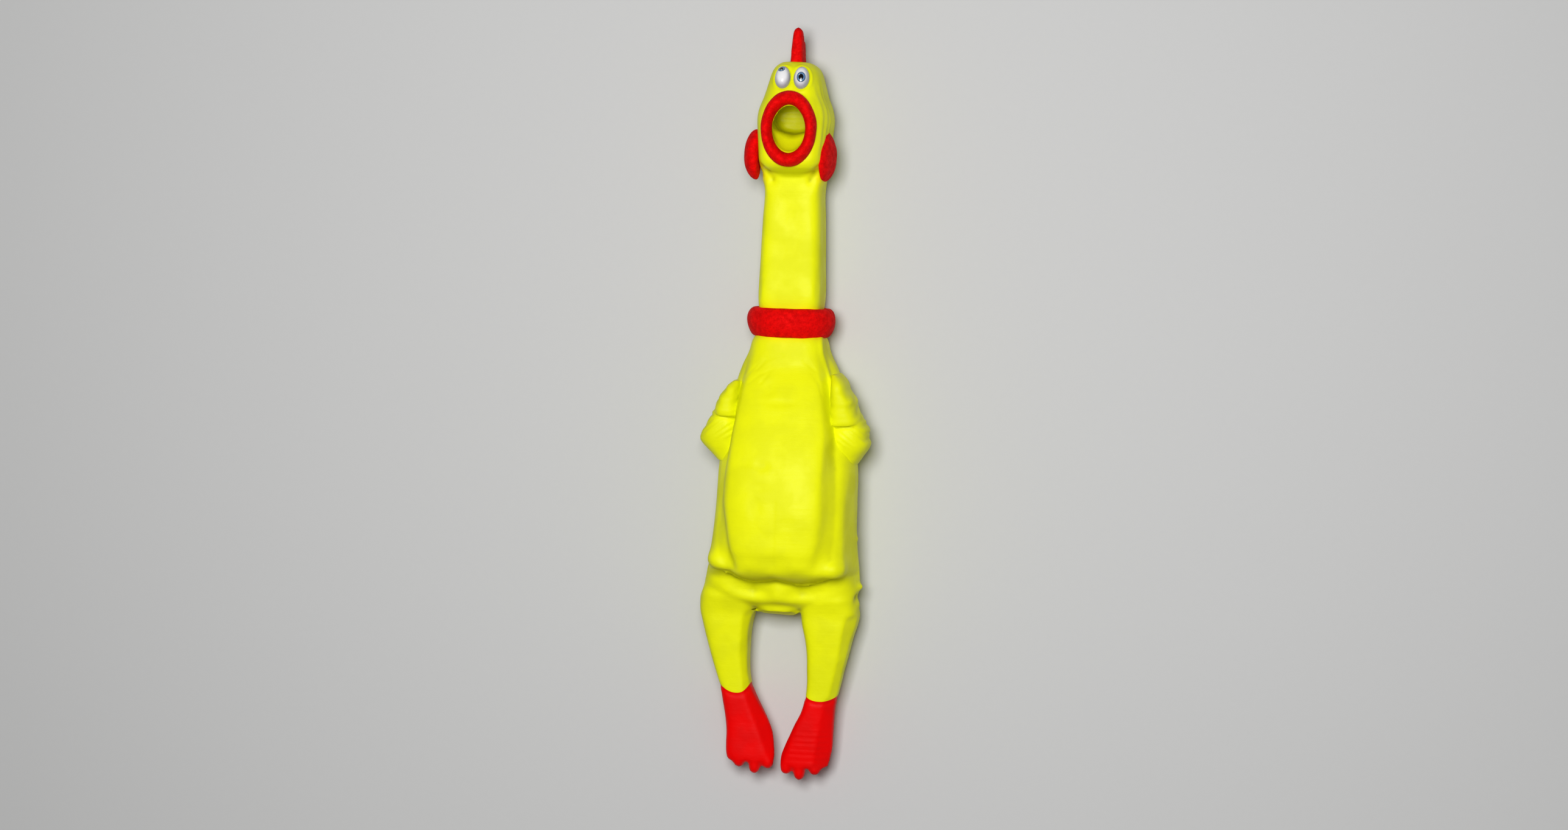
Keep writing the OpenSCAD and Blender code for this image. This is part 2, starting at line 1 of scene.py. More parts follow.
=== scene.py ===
"""A squeaking rubber chicken in soft vinyl, built round its CAD frame.

The chicken lies on its back: +Z is the way the belly faces, +Y runs to the head and +X is its own left.
Sizes inside the script are in millimetres and are turned into metres when a mesh is made.
"""

import math

import bmesh
import bpy
import numpy as np
from bpy.props import FloatProperty, FloatVectorProperty, PointerProperty
from mathutils import Matrix, Vector
from mathutils.bvhtree import BVHTree


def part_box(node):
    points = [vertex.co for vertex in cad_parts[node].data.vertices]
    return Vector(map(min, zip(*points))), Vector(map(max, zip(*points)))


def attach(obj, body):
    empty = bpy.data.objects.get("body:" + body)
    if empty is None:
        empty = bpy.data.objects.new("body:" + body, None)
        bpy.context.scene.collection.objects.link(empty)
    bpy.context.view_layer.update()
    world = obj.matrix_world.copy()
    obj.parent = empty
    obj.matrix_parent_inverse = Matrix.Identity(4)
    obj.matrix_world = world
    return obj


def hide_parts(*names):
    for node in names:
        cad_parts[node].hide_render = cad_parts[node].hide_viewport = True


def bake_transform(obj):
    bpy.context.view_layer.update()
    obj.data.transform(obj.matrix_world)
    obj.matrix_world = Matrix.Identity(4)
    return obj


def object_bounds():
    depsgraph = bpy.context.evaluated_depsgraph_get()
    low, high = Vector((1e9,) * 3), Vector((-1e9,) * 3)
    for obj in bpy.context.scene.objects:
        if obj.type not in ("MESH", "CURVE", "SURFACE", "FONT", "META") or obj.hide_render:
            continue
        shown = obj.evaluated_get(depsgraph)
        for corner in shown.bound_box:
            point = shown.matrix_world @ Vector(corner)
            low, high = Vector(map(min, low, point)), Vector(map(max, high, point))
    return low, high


bl_info = {
    "name": "Rubber Chicken",
    "version": (1, 0, 0),
    "blender": (4, 5, 0),
    "location": "3D View > Sidebar > Chicken",
    "description": "Moulds the skin, the red trimmings and the eyes of a rubber chicken round its frame",
    "category": "Object",
}

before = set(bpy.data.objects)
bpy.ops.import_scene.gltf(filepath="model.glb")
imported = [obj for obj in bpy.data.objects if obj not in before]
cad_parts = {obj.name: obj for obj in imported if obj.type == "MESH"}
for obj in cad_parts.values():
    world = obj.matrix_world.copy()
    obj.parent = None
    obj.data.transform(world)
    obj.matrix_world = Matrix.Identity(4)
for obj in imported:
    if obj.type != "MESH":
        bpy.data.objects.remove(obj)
CAD_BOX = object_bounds()

MM = 0.001
TURN = 2 * math.pi
LEFT, RIGHT = 1, -1
SIDES = {LEFT: "left", RIGHT: "right"}


# ---------- Stations of the frame ----------


def box_mm(node):
    """The lowest and highest corner of a CAD node, in millimetres."""
    low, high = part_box(node)
    return np.array(low) / MM, np.array(high) / MM


BACK_LOW, BACK_HIGH = box_mm("back_shell")
COLLAR_LOW, COLLAR_HIGH = box_mm("collar")
TUBE_LOW, TUBE_HIGH = box_mm("neck_tube")
HEAD_LOW, HEAD_HIGH = box_mm("head_shell")
LIP_LOW, LIP_HIGH = box_mm("lip_ring")

TORSO_BOTTOM, TORSO_TOP = BACK_LOW[1], BACK_HIGH[1]
TORSO_HALF = BACK_HIGH[0]
TORSO_FRONT = box_mm("belly_shell")[1][2]
TAIL_TIP = box_mm("tail_nub")[0][1]
COLLAR_Y = (COLLAR_LOW[1] + COLLAR_HIGH[1]) / 2
NECK_Z = (COLLAR_LOW[2] + COLLAR_HIGH[2]) / 2
NECK_HALF = TUBE_HIGH[0]
NECK_DEEP = TUBE_HIGH[2] - NECK_Z
LEG_Z = NECK_Z - 2
HEAD_HALF = HEAD_HIGH[0]
MUZZLE_Z = LIP_LOW[2]
MUZZLE_Y = (LIP_LOW[1] + LIP_HIGH[1]) / 2
LIP_HALF = (LIP_HIGH[0] - LIP_LOW[0]) / 2
LIP_TALL = (LIP_HIGH[1] - LIP_LOW[1]) / 2


def torso_y(share):
    return TORSO_BOTTOM + (TORSO_TOP - TORSO_BOTTOM) * share


def on_torso(line):
    """Points from their distances from the mid-line and their shares of the torso's length."""
    return [(x, torso_y(share)) for x, share in line]


def head_y(share):
    return HEAD_LOW[1] + (HEAD_HIGH[1] - HEAD_LOW[1]) * share


BROW_Y = head_y(0.86)
BROW_Z = MUZZLE_Z - 7
BROW_TILT = math.radians(22)

# Where the skin is cut into pieces.
SEAMS = {
    "crotch": TORSO_BOTTOM - 6.2,
    LEFT: box_mm("left_ankle_skin")[1][1] + 4.5,
    RIGHT: box_mm("right_ankle_skin")[1][1] + 6.0,
    "root": TORSO_TOP,
    "collar": COLLAR_Y,
    "neck": (TUBE_LOW[1] + TUBE_HIGH[1]) / 2,
}


# ---------- Shapes ----------


def smooth_step(low, high, t):
    t = np.clip((t - low) / (high - low), 0, 1)
    return t * t * (3 - 2 * t)


def ridge(t, width):
    return np.exp(-((t / width) ** 2))


def ring_angles(count, start=0.0):
    return TURN * (np.arange(count) + start) / count


def rows_between(rows, count):
    """A table read at even steps of its first column, on a smooth curve through its rows."""
    t = np.array(rows, float)
    slope = np.gradient(t, t[:, 0], axis=0)
    at = np.linspace(t[0, 0], t[-1, 0], count)
    k = np.clip(np.searchsorted(t[:, 0], at, side="right") - 1, 0, len(t) - 2)
    h = (t[k + 1, 0] - t[k, 0])[:, None]
    s = ((at - t[k, 0]) / h[:, 0])[:, None]
    return (
        (2 * s**3 - 3 * s**2 + 1) * t[k]
        + (s**3 - 2 * s**2 + s) * h * slope[k]
        + (3 * s**2 - 2 * s**3) * t[k + 1]
        + (s**3 - s**2) * h * slope[k + 1]
    )


def oval(y, half, low, high, square=2.0, x=0.0, sides=64):
    """A section at y, rounder when square is near 2 and boxier when it is more."""
    a = ring_angles(sides, 0.5)
    across, up = (np.sign(t) * np.abs(t) ** (2 / square) for t in (np.cos(a), np.sin(a)))
    return np.stack([x + half * across, np.full(sides, y), (low + high) / 2 + (high - low) / 2 * up], 1)


def next_ring(bm, edges, place, points):
    """Extrudes a ring of edges to points. Returns the new edges and each new vertex's place in the ring."""
    made = bmesh.ops.extrude_edge_only(bm, edges=edges)["geom"]
    fresh = dict.fromkeys(g for g in made if isinstance(g, bmesh.types.BMVert))
    moved = {}
    for v in fresh:
        old = next(e.other_vert(v) for e in v.link_edges if e.other_vert(v) not in fresh)
        moved[v] = place[old]
        v.co = points[moved[v]]
    near = dict.fromkeys(e for v in fresh for e in v.link_edges)
    return [e for e in near if all(v in fresh for v in e.verts)], moved


def loft(bm, sections, closed=True):
    """A tube through sections with the same number of points, with its ends filled if it is closed."""
    made = bmesh.ops.create_circle(bm, segments=len(sections[0]), radius=1.0)["verts"]
    place = {v: i for i, v in enumerate(made)}
    for v, i in place.items():
        v.co = sections[0][i]
    edges = first = list(dict.fromkeys(e for v in made for e in v.link_edges))
    for points in sections[1:]:
        edges, place = next_ring(bm, edges, place, points)
    if closed:
        for ring in (first, edges):
            bmesh.ops.contextual_create(bm, geom=ring)


def in_metres(bm):
    bmesh.ops.recalc_face_normals(bm, faces=bm.faces)
    bmesh.ops.scale(bm, vec=(MM, MM, MM), verts=bm.verts)


def linked(name, data):
    """A new object in the scene."""
    made = bpy.data.objects.new(name, data)
    bpy.context.scene.collection.objects.link(made)
    return made


def mesh_object(name, bm):
    """A new object from a bmesh in millimetres, with its place in its mesh."""
    in_metres(bm)
    mesh = bpy.data.meshes.new(name)
    bm.to_mesh(mesh)
    bm.free()
    return linked(name, mesh)


def modified(obj, kind, **values):
    """Puts the result of one modifier into an object's mesh."""
    modifier = obj.modifiers.new(kind.title(), kind)
    for label, value in values.items():
        setattr(modifier, label, value)
    obj.update_tag()
    bpy.context.view_layer.update()
    result = bpy.data.meshes.new_from_object(obj.evaluated_get(bpy.context.evaluated_depsgraph_get()))
    old = obj.data
    obj.modifiers.clear()
    obj.data = result
    bpy.data.meshes.remove(old)
    result.name = obj.name
    return obj


def fuse(obj, voxel):
    """Melts overlapping closed shells into one even skin. voxel is in millimetres."""
    return modified(obj, "REMESH", mode="VOXEL", voxel_size=voxel * MM, use_smooth_shade=True)


def relax(obj, factor, times):
    return modified(obj, "SMOOTH", factor=factor, iterations=times)


def subdivide(obj):
    return modified(obj, "SUBSURF", levels=2, render_levels=2)


def points_of(mesh):
    co = np.empty(len(mesh.vertices) * 3)
    mesh.vertices.foreach_get("co", co)
    return co.reshape(-1, 3) / MM


def normals_of(mesh):
    n = np.empty(len(mesh.vertices) * 3)
    mesh.vertex_normals.foreach_get("vector", n)
    return n.reshape(-1, 3)


def set_mask(mesh, name, values):
    """Stores one number for each vertex, for the materials to read."""
    layer = mesh.attributes.get(name) or mesh.attributes.new(name, "FLOAT", "POINT")
    layer.data.foreach_set("value", values.astype(np.float32))


def spread(mesh, values, times):
    """Averages one number for each vertex with its neighbours."""
    pairs = np.empty(len(mesh.edges) * 2, int)
    mesh.edges.foreach_get("vertices", pairs)
    a, b = pairs.reshape(-1, 2).T
    size = len(values)
    count = np.bincount(a, minlength=size) + np.bincount(b, minlength=size) + 1
    for _ in range(times):
        total = values + np.bincount(a, values[b], size) + np.bincount(b, values[a], size)
        values = total / count
    return values


def hollows(mesh, reach, gain):
    """How deep each vertex sits in a crease (more than 0) or stands on a ridge, from -1 to 1."""
    co, normal = points_of(mesh), normals_of(mesh)
    around = np.stack([spread(mesh, co[:, k], reach) for k in range(3)], 1)
    depth = ((around - co) * normal).sum(1)
    return np.clip(spread(mesh, depth, 2) * gain, -1, 1)


# ---------- Sculpting ----------


def from_line(points, line):
    """Distance from points to a bent line in the same plane."""
    line = np.array(line, float)
    best = np.full(len(points), np.inf)
    for a, b in zip(line[:-1], line[1:]):
        d = b - a
        t = np.clip(((points - a) @ d) / (d @ d), 0, 1)
        away = points - (a + t[:, None] * d)
        best = np.minimum(best, np.hypot(away[:, 0], away[:, 1]))
    return best


class Clay:
    """The points of a skin while it is sculpted, in millimetres."""

    def __init__(self, obj):
        self.mesh = obj.data
        self.co = points_of(self.mesh)
        self.normal = normals_of(self.mesh)

    def refresh(self):
        self.mesh.vertices.foreach_set("co", (self.co * MM).ravel())
        self.mesh.update()
        self.normal = normals_of(self.mesh)

    def front(self, low=0.05, high=0.45):
        """From 0 where the skin faces back or sideways to 1 where it faces forward."""
        return smooth_step(low, high, self.normal[:, 2])

    def band(self, low, high, fade):
        """1 between two heights, fading to 0 past them."""
        y = self.co[:, 1]
        return smooth_step(low - fade, low + fade, y) * (1 - smooth_step(high - fade, high + fade, y))

    def push(self, amount):
        self.co += self.normal * amount[:, None]

    def groove(self, line, width, depth, mask=None):
        """A crease along a bent line on the front, or a ridge if depth is less than 0."""
        shape = ridge(from_line(self.co[:, :2], line), width)
        self.push(-depth * shape * (self.front() if mask is None else mask))

    def bumps(self, *rows):
        """Rounded lumps as (centre, radii, height), or dents where the height is less than 0."""
        for centre, radii, height in rows:
            away = (self.co - np.array(centre)) / np.array(radii)
            self.push(height * np.exp(-(away**2).sum(1)))

    def flatten(self, point, normal, soft, mask):
        """Presses everything beyond a plane back to it, with a rounded edge."""
        n = np.array(normal, float)
        n /= np.linalg.norm(n)
        beyond = (self.co - np.array(point)) @ n
        self.co -= n * ((0.5 * (beyond + np.sqrt(beyond**2 + soft**2)) * mask)[:, None])

    def facet(self, a, b, steep, soft, mask):
        """Presses what lies left of the line from a to b down to a plane that leaves it at steep degrees."""
        along = np.subtract(b, a).astype(float)
        across = np.cross((0, 0, 1), along)
        across /= np.linalg.norm(across)
        up = np.cross(along, across)
        up /= np.linalg.norm(up)
        turn = math.radians(steep)
        self.flatten(a, across * math.sin(turn) + up * math.cos(turn), soft, mask)


def waves(points, scale, seed):
    """Smooth unevenness from -1 to 1 over points in millimetres, made of a few crossed waves."""
    rng = np.random.default_rng(seed)
    total = np.zeros(len(points))
    for _ in range(7):
        direction = rng.normal(size=3)
        direction /= np.linalg.norm(direction)
        pitch = scale * rng.uniform(0.7, 1.5)
        total += np.sin(points @ direction * (TURN / pitch) + rng.uniform(0, 6.3))
    return total / 4


# ---------- Settings ----------


def colour(name, description, default):
    return FloatVectorProperty(
        name=name, description=description, subtype="COLOR", size=3, default=default, min=0, max=1
    )


def length(name, description, default, low, high):
    return FloatProperty(
        name=name, description=description, subtype="DISTANCE", default=default, min=low, max=high
    )


def angle(name, description, degrees):
    return FloatProperty(name=name, description=description, subtype="ANGLE", default=math.radians(degrees))


def power(name, description, watts):
    return FloatProperty(name=name, description=description, unit="POWER", default=watts, min=0)


class ChickenSkinSettings(bpy.types.PropertyGroup):
    """Sizes and colours of the vinyl skin."""

    yellow: colour("Yellow", "Colour of the vinyl", (0.90, 0.93, 0.004))
    # Painted shade: the crease colour and the throat colour stand in for the shade that falls in the creases
    # and deep in the mouth.
    shade: colour("Crease colour", "Colour of the vinyl deep in its creases", (0.36, 0.37, 0.0))
    throat: colour("Throat colour", "Colour of the vinyl deep in the mouth", (0.50, 0.50, 0.0))
    foot_red: colour("Foot red", "Colour of the paint on the feet", (0.95, 0.0, 0.0))
    voxel: length("Skin grid", "Distance between points of the skin", 0.0009, 0.0006, 0.002)
    crease: length("Crease depth", "Depth of the creases beside the belly", 0.0016, 0, 0.004)


class ChickenTrimSettings(bpy.types.PropertyGroup):
    """Colours and grain of the collar, lips, wattles and comb."""

    red: colour("Red", "Colour of the matt rubber", (0.95, 0.0, 0.0))
    dark_red: colour("Dark red", "Colour of the blotches in the rubber", (0.62, 0.0, 0.0))
    grain: length("Grain depth", "Depth of the grain in the rubber", 0.00025, 0, 0.001)


class ChickenEyeSettings(bpy.types.PropertyGroup):
    """Colours of the eyes."""

    white: colour("White", "Colour of the eyeball", (0.92, 0.92, 0.93))
    blue: colour("Iris", "Colour of the iris", (0.12, 0.24, 0.42))


class ChickenStageSettings(bpy.types.PropertyGroup):
    """The floor, the lights and where the camera stands."""

    floor: colour("Floor", "Colour of the floor", (0.63, 0.63, 0.625))
    turn: angle("Turn", "Camera's turn towards the chicken's left", 8.6)
    lift: angle("Lift", "Camera's lift towards the head", 4)
    roll: angle("Roll", "Lean of the chicken in the view", 1.7)
    key: power("Key light", "Power of the main soft light", 15.0)
    fill: power("Fill light", "Power of the second soft light", 0.5)


# ---------- Materials ----------


def node_group(name, control, default):
    """A new shader group from a vector and one number to a height and a blotch mask."""
    group = bpy.data.node_groups.new(name, "ShaderNodeTree")
    group.interface.new_socket("Vector", in_out="INPUT", socket_type="NodeSocketVector")
    made = group.interface.new_socket(control, in_out="INPUT", socket_type="NodeSocketFloat")
    made.default_value = default
    for label in ("Height", "Blotch"):
        group.interface.new_socket(label, in_out="OUTPUT", socket_type="NodeSocketFloat")
    source, result = group.nodes.new("NodeGroupInput"), group.nodes.new("NodeGroupOutput")
    return group, source.outputs, result.inputs


def noise(tree, scale, detail, vector, roughness=0.5):
    n = tree.nodes.new("ShaderNodeTexNoise")
    for label, value in (("Scale", scale), ("Detail", detail), ("Roughness", roughness)):
        n.inputs[label].default_value = value
    tree.links.new(vector, n.inputs["Vector"])
    return n.outputs["Fac"]


def feed(tree, socket, value):
    """Sets a socket to a number or a colour, or links it to another node's output."""
    if isinstance(value, (int, float)):
        socket.default_value = value
    elif isinstance(value, tuple):
        socket.default_value = (*value, 1)
    else:
        tree.links.new(value, socket)


def math_node(tree, operation, a, b):
    n = tree.nodes.new("ShaderNodeMath")
    n.operation = operation
    feed(tree, n.inputs[0], a)
    feed(tree, n.inputs[1], b)
    return n.outputs[0]


def sum_of(tree, a, share_a, b, share_b):
    parts = [math_node(tree, "MULTIPLY", a, share_a), math_node(tree, "MULTIPLY", b, share_b)]
    return math_node(tree, "ADD", *parts)


def map_node(tree, value, low, high, to_low=0.0, to_high=1.0):
    n = tree.nodes.new("ShaderNodeMapRange")
    n.interpolation_type = "SMOOTHSTEP"
    tree.links.new(value, n.inputs["Value"])
    for label, number in (("From Min", low), ("From Max", high), ("To Min", to_low), ("To Max", to_high)):
        n.inputs[label].default_value = number
    return n.outputs["Result"]


def mix_node(tree, factor, a, b):
    n = tree.nodes.new("ShaderNodeMix")
    n.data_type = "RGBA"
    for label, kind, value in (("Factor", "VALUE", factor), ("A", "RGBA", a), ("B", "RGBA", b)):
        feed(tree, next(s for s in n.inputs if s.name == label and s.type == kind), value)
    return next(s for s in n.outputs if s.type == "RGBA")


def attribute(tree, name, output="Fac"):
    n = tree.nodes.new("ShaderNodeAttribute")
    n.attribute_name = name
    return n.outputs[output]


def tint(base, share):
    """A darker or brighter version of a colour."""
    return tuple(min(c * share, 1) for c in base)


def mould_marks():
    """The unevenness of moulded vinyl: soft dents, fine level lines and a pebble."""
    if "Mould marks" in bpy.data.node_groups:
        return bpy.data.node_groups["Mould marks"]
    group, given, result = node_group("Mould marks", "Lines", 0.3)
    dents = noise(group, 70, 3, given["Vector"])
    pebble = noise(group, 1500, 2, given["Vector"])
    stretch = group.nodes.new("ShaderNodeMapping")
    stretch.inputs["Scale"].default_value = (0.06, 1.0, 0.06)
    group.links.new(given["Vector"], stretch.inputs["Vector"])
    lines = noise(group, 700, 3, stretch.outputs["Vector"], 0.6)
    height = sum_of(group, dents, 0.8, pebble, 0.07)
    height = math_node(group, "ADD", height, math_node(group, "MULTIPLY", lines, given["Lines"]))
    group.links.new(height, result["Height"])
    group.links.new(map_node(group, dents, 0.35, 0.65), result["Blotch"])
    return group


def felt_grain():
    """The grain of matt rubber: blotches a few millimetres wide and a fine nap."""
    if "Felt grain" in bpy.data.node_groups:
        return bpy.data.node_groups["Felt grain"]
    group, given, result = node_group("Felt grain", "Size", 1.0)
    sized = group.nodes.new("ShaderNodeVectorMath")
    sized.operation = "SCALE"
    group.links.new(given["Vector"], sized.inputs[0])
    group.links.new(given["Size"], sized.inputs["Scale"])
    wide = noise(group, 380, 3, sized.outputs["Vector"], 0.6)
    nap = noise(group, 1300, 4, sized.outputs["Vector"], 0.7)
    blotch = sum_of(group, wide, 0.62, nap, 0.38)
    group.links.new(map_node(group, blotch, 0.34, 0.66), result["Blotch"])
    group.links.new(sum_of(group, wide, 0.5, nap, 0.5), result["Height"])
    return group


class Finish:
    """A material while its nodes are laid: its shader, the piece's own coordinates and one grain group."""

    def __init__(self, name, roughness, **plain):
        """plain sets the shader's own sockets, such as Metallic."""
        self.material = bpy.data.materials.new(name)
        self.material.use_nodes = True
        self.tree = self.material.node_tree
        self.shader = self.tree.nodes["Principled BSDF"]
        self.shader.inputs["Roughness"].default_value = roughness
        for label, value in plain.items():
            self.shader.inputs[label.replace("_", " ")].default_value = value
        self.place = self.tree.nodes.new("ShaderNodeTexCoord").outputs["Object"]

    def use(self, group, **values):
        """Lays a grain group and returns its blotch mask."""
        n = self.tree.nodes.new("ShaderNodeGroup")
        n.node_tree = group
        self.tree.links.new(self.place, n.inputs["Vector"])
        for label, value in values.items():
            n.inputs[label].default_value = value
        self.height, self.blotch = n.outputs["Height"], n.outputs["Blotch"]
        return self.blotch

    def mix(self, factor, a, b):
        return mix_node(self.tree, factor, a, b)

    def mask(self, name, low, high):
        """A mesh's mask read from 0 at low to 1 at high."""
        return map_node(self.tree, attribute(self.tree, name), low, high)

    def colour(self, value):
        self.tree.links.new(value, self.shader.inputs["Base Color"])

    def roughness(self, low, high):
        """Roughness that follows the blotches."""
        rough = map_node(self.tree, self.blotch, 0, 1, low, high)
        self.tree.links.new(rough, self.shader.inputs["Roughness"])

    def bump(self, distance):
        n = self.tree.nodes.new("ShaderNodeBump")
        n.inputs["Strength"].default_value = 1.0
        n.inputs["Distance"].default_value = distance
        self.tree.links.new(self.height, n.inputs["Height"])
        self.tree.links.new(n.outputs["Normal"], self.shader.inputs["Normal"])


def vinyl_material(painted):
    """Soft yellow vinyl, with painted shade darkening its creases and the throat deep in the mouth. On the
    feet it is painted red below the ankle.
    """
    name = "Painted vinyl" if painted else "Yellow vinyl"
    if name in bpy.data.materials:
        return bpy.data.materials[name]
    skin = bpy.context.scene.chicken_skin
    made = Finish(name, 0.5, Specular_IOR_Level=0.12)
    blotch = made.use(mould_marks(), Lines=0.12)
    mixed = made.mix(blotch, tuple(skin.yellow), tint(skin.yellow, 0.93))
    # Painted shade: the crease mask mixes the vinyl, and the red of the feet, towards a dark colour where
    # shade falls in the creases.
    crease = made.mask("crease", 0.10, 1.2)
    dark = tuple(skin.shade)
    if painted:
        paint = made.mix(blotch, tuple(skin.foot_red), tint(skin.foot_red, 0.9))
        mask = made.mask("paint", -0.12, 0.12)
        dark = made.mix(mask, dark, tint(skin.foot_red, 0.35))
        mixed = made.mix(mask, mixed, paint)
    else:
        # Painted shade: deep in the mouth the vinyl is mixed towards the darker throat colour.
        mixed = made.mix(attribute(made.tree, "deep"), mixed, tuple(skin.throat))
    made.colour(made.mix(crease, mixed, dark))
    made.roughness(0.46, 0.56)
    made.bump(0.0006)
    return made.material


def red_material():
    """Matt red rubber with a blotchy, felt-like grain, and painted shade darkening its creases."""
    name = "Matt red rubber"
    if name in bpy.data.materials:
        return bpy.data.materials[name]
    trim = bpy.context.scene.chicken_trim
    made = Finish(name, 0.8, Specular_IOR_Level=0.1)
    mixed = made.mix(made.use(felt_grain(), Size=1.0), tuple(trim.dark_red), tuple(trim.red))
    # Painted shade: the crease mask mixes the red towards a darker red in the creases.
    made.colour(made.mix(made.mask("crease", 0.1, 1.0), mixed, tint(trim.dark_red, 0.4)))
    made.roughness(0.88, 0.72)
    made.bump(trim.grain)
    return made.material


def eye_material():
    """A glossy white eyeball that greys towards its rim in painted shade."""
    white = tuple(bpy.context.scene.chicken_eyes.white)
    made = Finish("Eye white", 0.12, Coat_Weight=0.6, Coat_Roughness=0.05)
    blotch = made.use(felt_grain(), Size=0.5)
    # Painted shade: the eyeball is mixed towards grey near its edge.
    rim = made.mask("rim", 0.45, 1.0)
    made.colour(made.mix(rim, made.mix(blotch, white, tint(white, 0.985)), (0.36, 0.37, 0.42)))
    return made.material


def iris_material():
    """A blue iris with fine spokes, dark at its rim."""
    blue = tuple(bpy.context.scene.chicken_eyes.blue)
    made = Finish("Iris", 0.1, Coat_Weight=0.8, Coat_Roughness=0.04)
    spokes = noise(made.tree, 14, 3, attribute(made.tree, "spoke", "Vector"), 0.6)
    mixed = made.mix(spokes, tint(blue, 0.55), tint(blue, 1.7))
    made.colour(made.mix(made.mask("rim", 0.72, 1.0), mixed, tint(blue, 0.25)))
    return made.material


def plain_material(name, base, roughness, grain, **plain):
    """A small hard part: its colour varies a little and its surface has a fine grain."""
    made = Finish(name, roughness, **plain)
    made.colour(made.mix(made.use(felt_grain(), Size=1.0), base, tint(base, 0.82)))
    made.roughness(roughness * 0.85, roughness * 1.2)
    made.bump(grain)
    return made.material


def dress(obj, finish):
    """Gives a piece its material and smooth shading."""
    obj.data.materials.clear()
    obj.data.materials.append(finish)
    obj.data.shade_smooth()


def fix_on(obj, finish, slot, body, *nodes):
    """Dresses a piece, sets it on one body and hides the nodes that it replaces."""
    dress(obj, finish)
    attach(obj, body)
    if nodes:
        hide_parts(*nodes)


def bend(obj):
    """Bakes a piece's place into its mesh."""
    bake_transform(obj)


# ---------- The skin ----------

# Share of the torso's length, shift of its middle, share of its half width, shares of its depth at the back
# and the front, then squareness.
TORSO_ROWS = [
    (-0.035, -0.5, 0.60, 0.25, 0.50, 2.2),
    (-0.010, -0.6, 0.87, 0.17, 0.57, 2.3),
    (0.020, -0.6, 0.985, 0.11, 0.63, 2.5),
    (0.060, -0.4, 0.99, 0.06, 0.70, 2.6),
    (0.100, 0.0, 0.975, 0.025, 0.78, 2.7),
    (0.130, 0.4, 0.965, 0.010, 0.91, 2.8),
    (0.200, 0.9, 0.930, -0.010, 0.970, 2.8),
    (0.300, 1.2, 0.900, -0.013, 0.995, 2.9),
    (0.420, 1.3, 0.885, -0.013, 1.000, 3.0),
    (0.560, 1.3, 0.880, -0.013, 0.965, 3.0),
    (0.720, 0.8, 0.820, 0.005, 0.880, 3.0),
    (0.860, 0.3, 0.730, 0.035, 0.780, 3.0),
    (0.940, 0.1, 0.665, 0.050, 0.710, 3.0),
    (1.000, 0.0, 0.600, 0.060, 0.655, 2.9),
]

# Share of the head's length, of its half width and of the neck's depth behind the neck's middle,
# then the front's distance from the muzzle and the squareness.
HEAD_ROWS = [
    (-0.03, 0.805, 0.52, -13.4, 4.6),
    (0.01, 0.830, 0.53, -11.0, 4.2),
    (0.05, 0.855, 0.56, -3.4, 4.2),
    (0.10, 0.870, 0.59, -0.2, 4.2),
    (0.22, 0.895, 0.63, 1.6, 4.2),
    (0.36, 0.930, 0.66, 2.2, 3.8),
    (0.50, 0.955, 0.67, 2.2, 3.4),
    (0.62, 0.915, 0.65, 0.6, 3.0),
    (0.74, 0.790, 0.60, -2.6, 2.8),
    (0.84, 0.710, 0.54, -5.0, 2.7),
    (0.92, 0.640, 0.45, -7.5, 2.6),
    (0.97, 0.540, 0.36, -10.5, 2.4),
    (1.00, 0.390, 0.24, -15.0, 2.2),
]


def trunk_sections():
    """Sections of the torso, neck and head, from the tail end to the crown."""
    rows = [
        (torso_y(s), TORSO_HALF * half, TORSO_FRONT * low, TORSO_FRONT * high, square, middle)
        for s, middle, half, low, high, square in TORSO_ROWS
    ]
    seat, wide, deep = COLLAR_LOW[1], NECK_HALF - 0.6, NECK_DEEP
    # Height, half width, depths behind and in front of the neck's middle, and squareness.
    rows += [
        (y, half, NECK_Z - back, NECK_Z + front, square, 0)
        for y, half, back, front, square in (
            ((TORSO_TOP + seat) / 2, 21.4, 19.4, 19.6, 3.0),
            (seat, 18.8, 18.0, 18.2, 3.2),
            (seat + 3.0, 16.6, 16.4, 16.4, 2.6),
            (COLLAR_Y, 15.2, 15.2, 15.2, 2.0),
            (COLLAR_HIGH[1] - 2.0, 16.4, 16.0, 16.0, 3.4),
            (COLLAR_HIGH[1] + 1.5, wide + 0.2, deep, deep + 0.3, 5.4),
            (TUBE_LOW[1] + 8, wide, deep, deep, 5.4),
            (TUBE_HIGH[1] - 10, wide - 0.7, deep, deep - 0.4, 5.4),
            (TUBE_HIGH[1] + 4, wide - 1.1, deep, deep - 1.0, 4.6),
        )
    ]
    rows += [
        (head_y(s), HEAD_HALF * half, NECK_Z - 2 * NECK_DEEP * low, MUZZLE_Z + high, square, 0)
        for s, half, low, high, square in HEAD_ROWS
    ]
    return [oval(*row, 72) for row in rows_between(rows, 220)]


